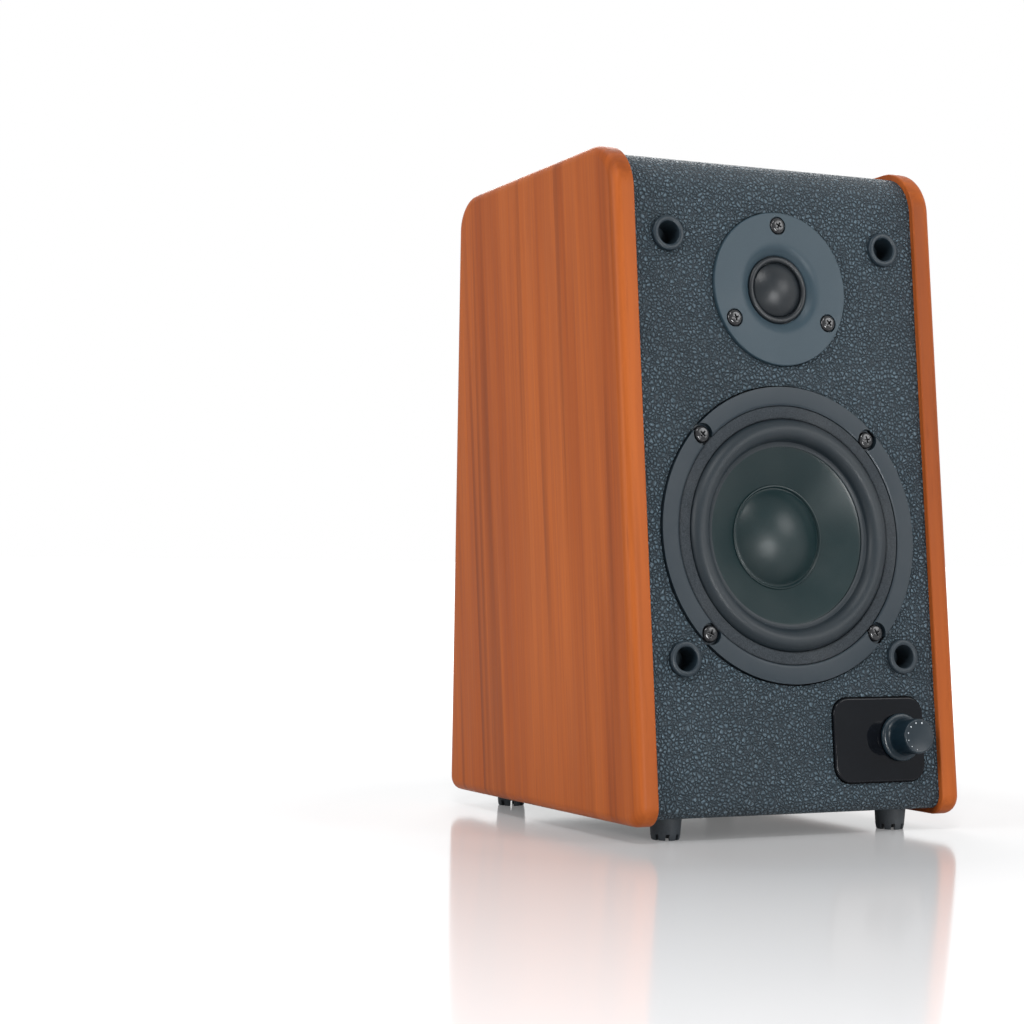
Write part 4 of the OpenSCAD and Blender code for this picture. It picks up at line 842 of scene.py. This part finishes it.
phonoMounts = [m for m in frame["record"]["mounts"] if m["name"].startswith("phono_")]
phonoPlaces = [rearPlace(m["pos_m"][0], m["pos_m"][2]) for m in phonoMounts]
collar, barrel, tip = rear["collar"], rear["barrel"], rear["barrelTop"]
barrels = []
for i, place in enumerate(phonoPlaces):
    barrels.append(settle(turned("barrel%d" % i, [
        (0, 3), (rear["pin"], 3), (rear["pin"], tip - 0.4), (rear["pin"] + 0.35, tip - 0.2), (3.0, tip - 0.2),
        (3.15, tip), (barrel - 0.35, tip), (barrel, tip - 0.4), (barrel, rear["collarHigh"]),
        (collar - 0.3, rear["collarHigh"]),
        (collar, rear["collarHigh"] - 0.3), (collar, 2), (barrel, 2), (barrel, 0), (0, 0)], 64), place))
dress(joined(barrels, "phonoBarrels"), "nickel", "cabinet", ["phono_barrels"], 35)
for i, (mount, place) in enumerate(zip(phonoMounts, phonoPlaces)):
    ring = settle(turned("phonoInsert%d" % i, ringProfile([
        (1.7, 10.6), (3.1, 10.6), (3.1, 11.86), (1.9, 11.86), (1.7, 11.7)]), 48), place)
    look, slot = ("redPlastic", "red_plastic") if "right" in mount["name"] else ("markWhite", "nickel")
    dress(ring, look, "cabinet", (), 35)

for nodeName, name, width, look, body, slot in (
        ("amp_plate", "ampPlate", 0.4, "rearPlate", "cabinet", "rear_plate"),
        ("phono_block", "phonoBlock", 0.3, "blackPlastic", "cabinet", "black_plastic"),
        ("terminal_block", "terminalBlock", 0.35, "blackPlastic", "cabinet", "black_plastic"),
        ("red_lever", "redLever", 0.3, "redPlastic", "red_lever", "red_plastic"),
        ("black_lever", "blackLever", 0.3, "blackPlastic", "black_lever", "black_plastic"),
        ("switch_housing", "switchHousing", 0.3, "blackPlastic", "cabinet", "black_plastic"),
        ("power_rocker", "powerRocker", 0.35, "blackPlastic", "power_rocker", "black_plastic"),
        ("mains_inlet", "mainsInlet", 0.3, "blackPlastic", "cabinet", "black_plastic"),
        ("volume_nut", "volumeNut", 0.15, "nickel", "cabinet", "nickel")):
    dress(fromNode(nodeName, name, width), look, body, [nodeName], 35, True)

plateMiddle = boxMiddle("amp_plate")
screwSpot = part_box("amp_plate")[1] - plateMiddle - Vector((1, 1, 1)) * rear["screwInset"] * mm
screwSet("ampPlateScrews", rear["headRadius"],
         [rearPlace(plateMiddle.x + x * screwSpot.x, plateMiddle.z + z * screwSpot.z)
          @ Matrix.Translation((0, 0, rear["plateTop"] * mm))
          for x in (-1, 1) for z in (-1, 0, 1)], "amp_plate_screws")
print("rear done")

# ---- parts that keep their shape ----

kept = {
    # the baffle's near-black paints the shade in the gaps round the drivers
    "blackBoardGapShade": ("baffle_board", "rear_board"),
    "board": ("top_board", "bottom_board"),
    "wadding": ("damping_pad",),
    "steel": ("tweeter_front_plate", "tweeter_yoke", "woofer_top_plate", "woofer_yoke", "volume_pot",
              "volume_shaft", "foot_screws", "transformer_core"),
    "ferrite": ("tweeter_magnet", "woofer_magnet"),
    "copperCoil": ("tweeter_voice_coil", "woofer_voice_coil", "transformer_coil"),
    "rearPlate": ("woofer_basket",),
    "tagStrip": ("woofer_terminals",),
    "circuitBoard": ("amp_board",),
    "capSleeve": ("filter_capacitors",),
    "heatSink": ("heat_sink",),
    "leadSleeve": ("speaker_leads",),
}
for look, names in kept.items():
    for nodeName in names:
        mesh = nodes[nodeName].data
        for i in range(max(1, len(mesh.materials))):
            if i < len(mesh.materials):
                mesh.materials[i] = looks[look]
            else:
                mesh.materials.append(looks[look])

# ---- floor, backdrop and lights ----

studio = {
    "floorSize": 14.0, "floorColour": (0.62, 0.62, 0.63, 1), "floorRough": 0.11, "worldLight": 0.26,
    # the glow by the speaker is kept low, which paints shade on the floor round it
    "glowNearPaintedShade": 0.13, "liftFar": 0.62, "liftFrom": 0.16, "liftTo": 0.75,
    "lamps": (  # name, place, size, watts
        ("keyLamp", (-0.9, -1.3, 2.1), 0.6, 24.0),
        ("sideLamp", (-2.0, -0.3, 0.8), 1.0, 25.0),
        ("farLamp", (0.95, -1.25, 0.75), 0.7, 9.0),
        ("lowLamp", (0.15, -1.5, 0.06), 0.25, 12.0),
        ("topLamp", (0.1, 0.8, 1.9), 0.9, 8.0),
        ("rearLamp", (0.9, 1.9, 1.3), 1.2, 18.0),
    ),
}
clearSelection()
bpy.ops.mesh.primitive_plane_add(size=studio["floorSize"], location=(0, 0, 0))
floor = bpy.context.object
floor.name = "floor"
settle(floor)
floorLook = bpy.data.materials.new("paleFloor")
floorLook.use_nodes = True
tree = floorLook.node_tree
bsdf = tree.nodes["Principled BSDF"]
bsdf.inputs["Base Color"].default_value = studio["floorColour"]
bsdf.inputs["Roughness"].default_value = studio["floorRough"]
bsdf.inputs["Specular IOR Level"].default_value = 0.5
bsdf.inputs["Emission Color"].default_value = (1, 1, 1, 1)
seen = addNode(tree, "ShaderNodeLightPath")
away = addNode(tree, "ShaderNodeVectorMath", {0: addNode(tree, "ShaderNodeTexCoord").outputs["Object"]},
               operation="LENGTH").outputs["Value"]
# glow for camera and glossy rays, weakest by the speaker and strongest far off: the greyer floor round the speaker
# is painted shade, the white far floor is backdrop
glowFadingToShade = mapRange(tree, away, studio["liftFrom"], studio["liftTo"], studio["glowNearPaintedShade"], studio["liftFar"])
lift = mathNode(tree, "MULTIPLY",
                mathNode(tree, "MAXIMUM", seen.outputs["Is Camera Ray"], seen.outputs["Is Glossy Ray"]),
                glowFadingToShade)
tree.links.new(lift, bsdf.inputs["Emission Strength"])
floor.data.materials.append(floorLook)

world = bpy.data.worlds.new("studioAir")
bpy.context.scene.world = world
world.use_nodes = True
tree = world.node_tree
background = tree.nodes["Background"]
seen = addNode(tree, "ShaderNodeLightPath")
looked = mathNode(tree, "MAXIMUM", seen.outputs["Is Camera Ray"],
                  mathNode(tree, "MAXIMUM", seen.outputs["Is Glossy Ray"],
                           seen.outputs["Is Transmission Ray"]))
tree.links.new(mapRange(tree, looked, 0.0, 1.0, studio["worldLight"], 1.0), background.inputs["Strength"])
background.inputs["Color"].default_value = (1, 1, 1, 1)

for name, place, size, watts in studio["lamps"]:
    lampData = bpy.data.lights.new(name, "AREA")
    lampData.shape = "DISK"
    lampData.size = size
    lampData.energy = watts
    lamp = bpy.data.objects.new(name, lampData)
    lamp.location = place
    lamp.rotation_euler = (Vector((0, 0, 0.14)) - Vector(place)).to_track_quat("-Z", "Y").to_euler()
    bpy.context.scene.collection.objects.link(lamp)
print("studio done")
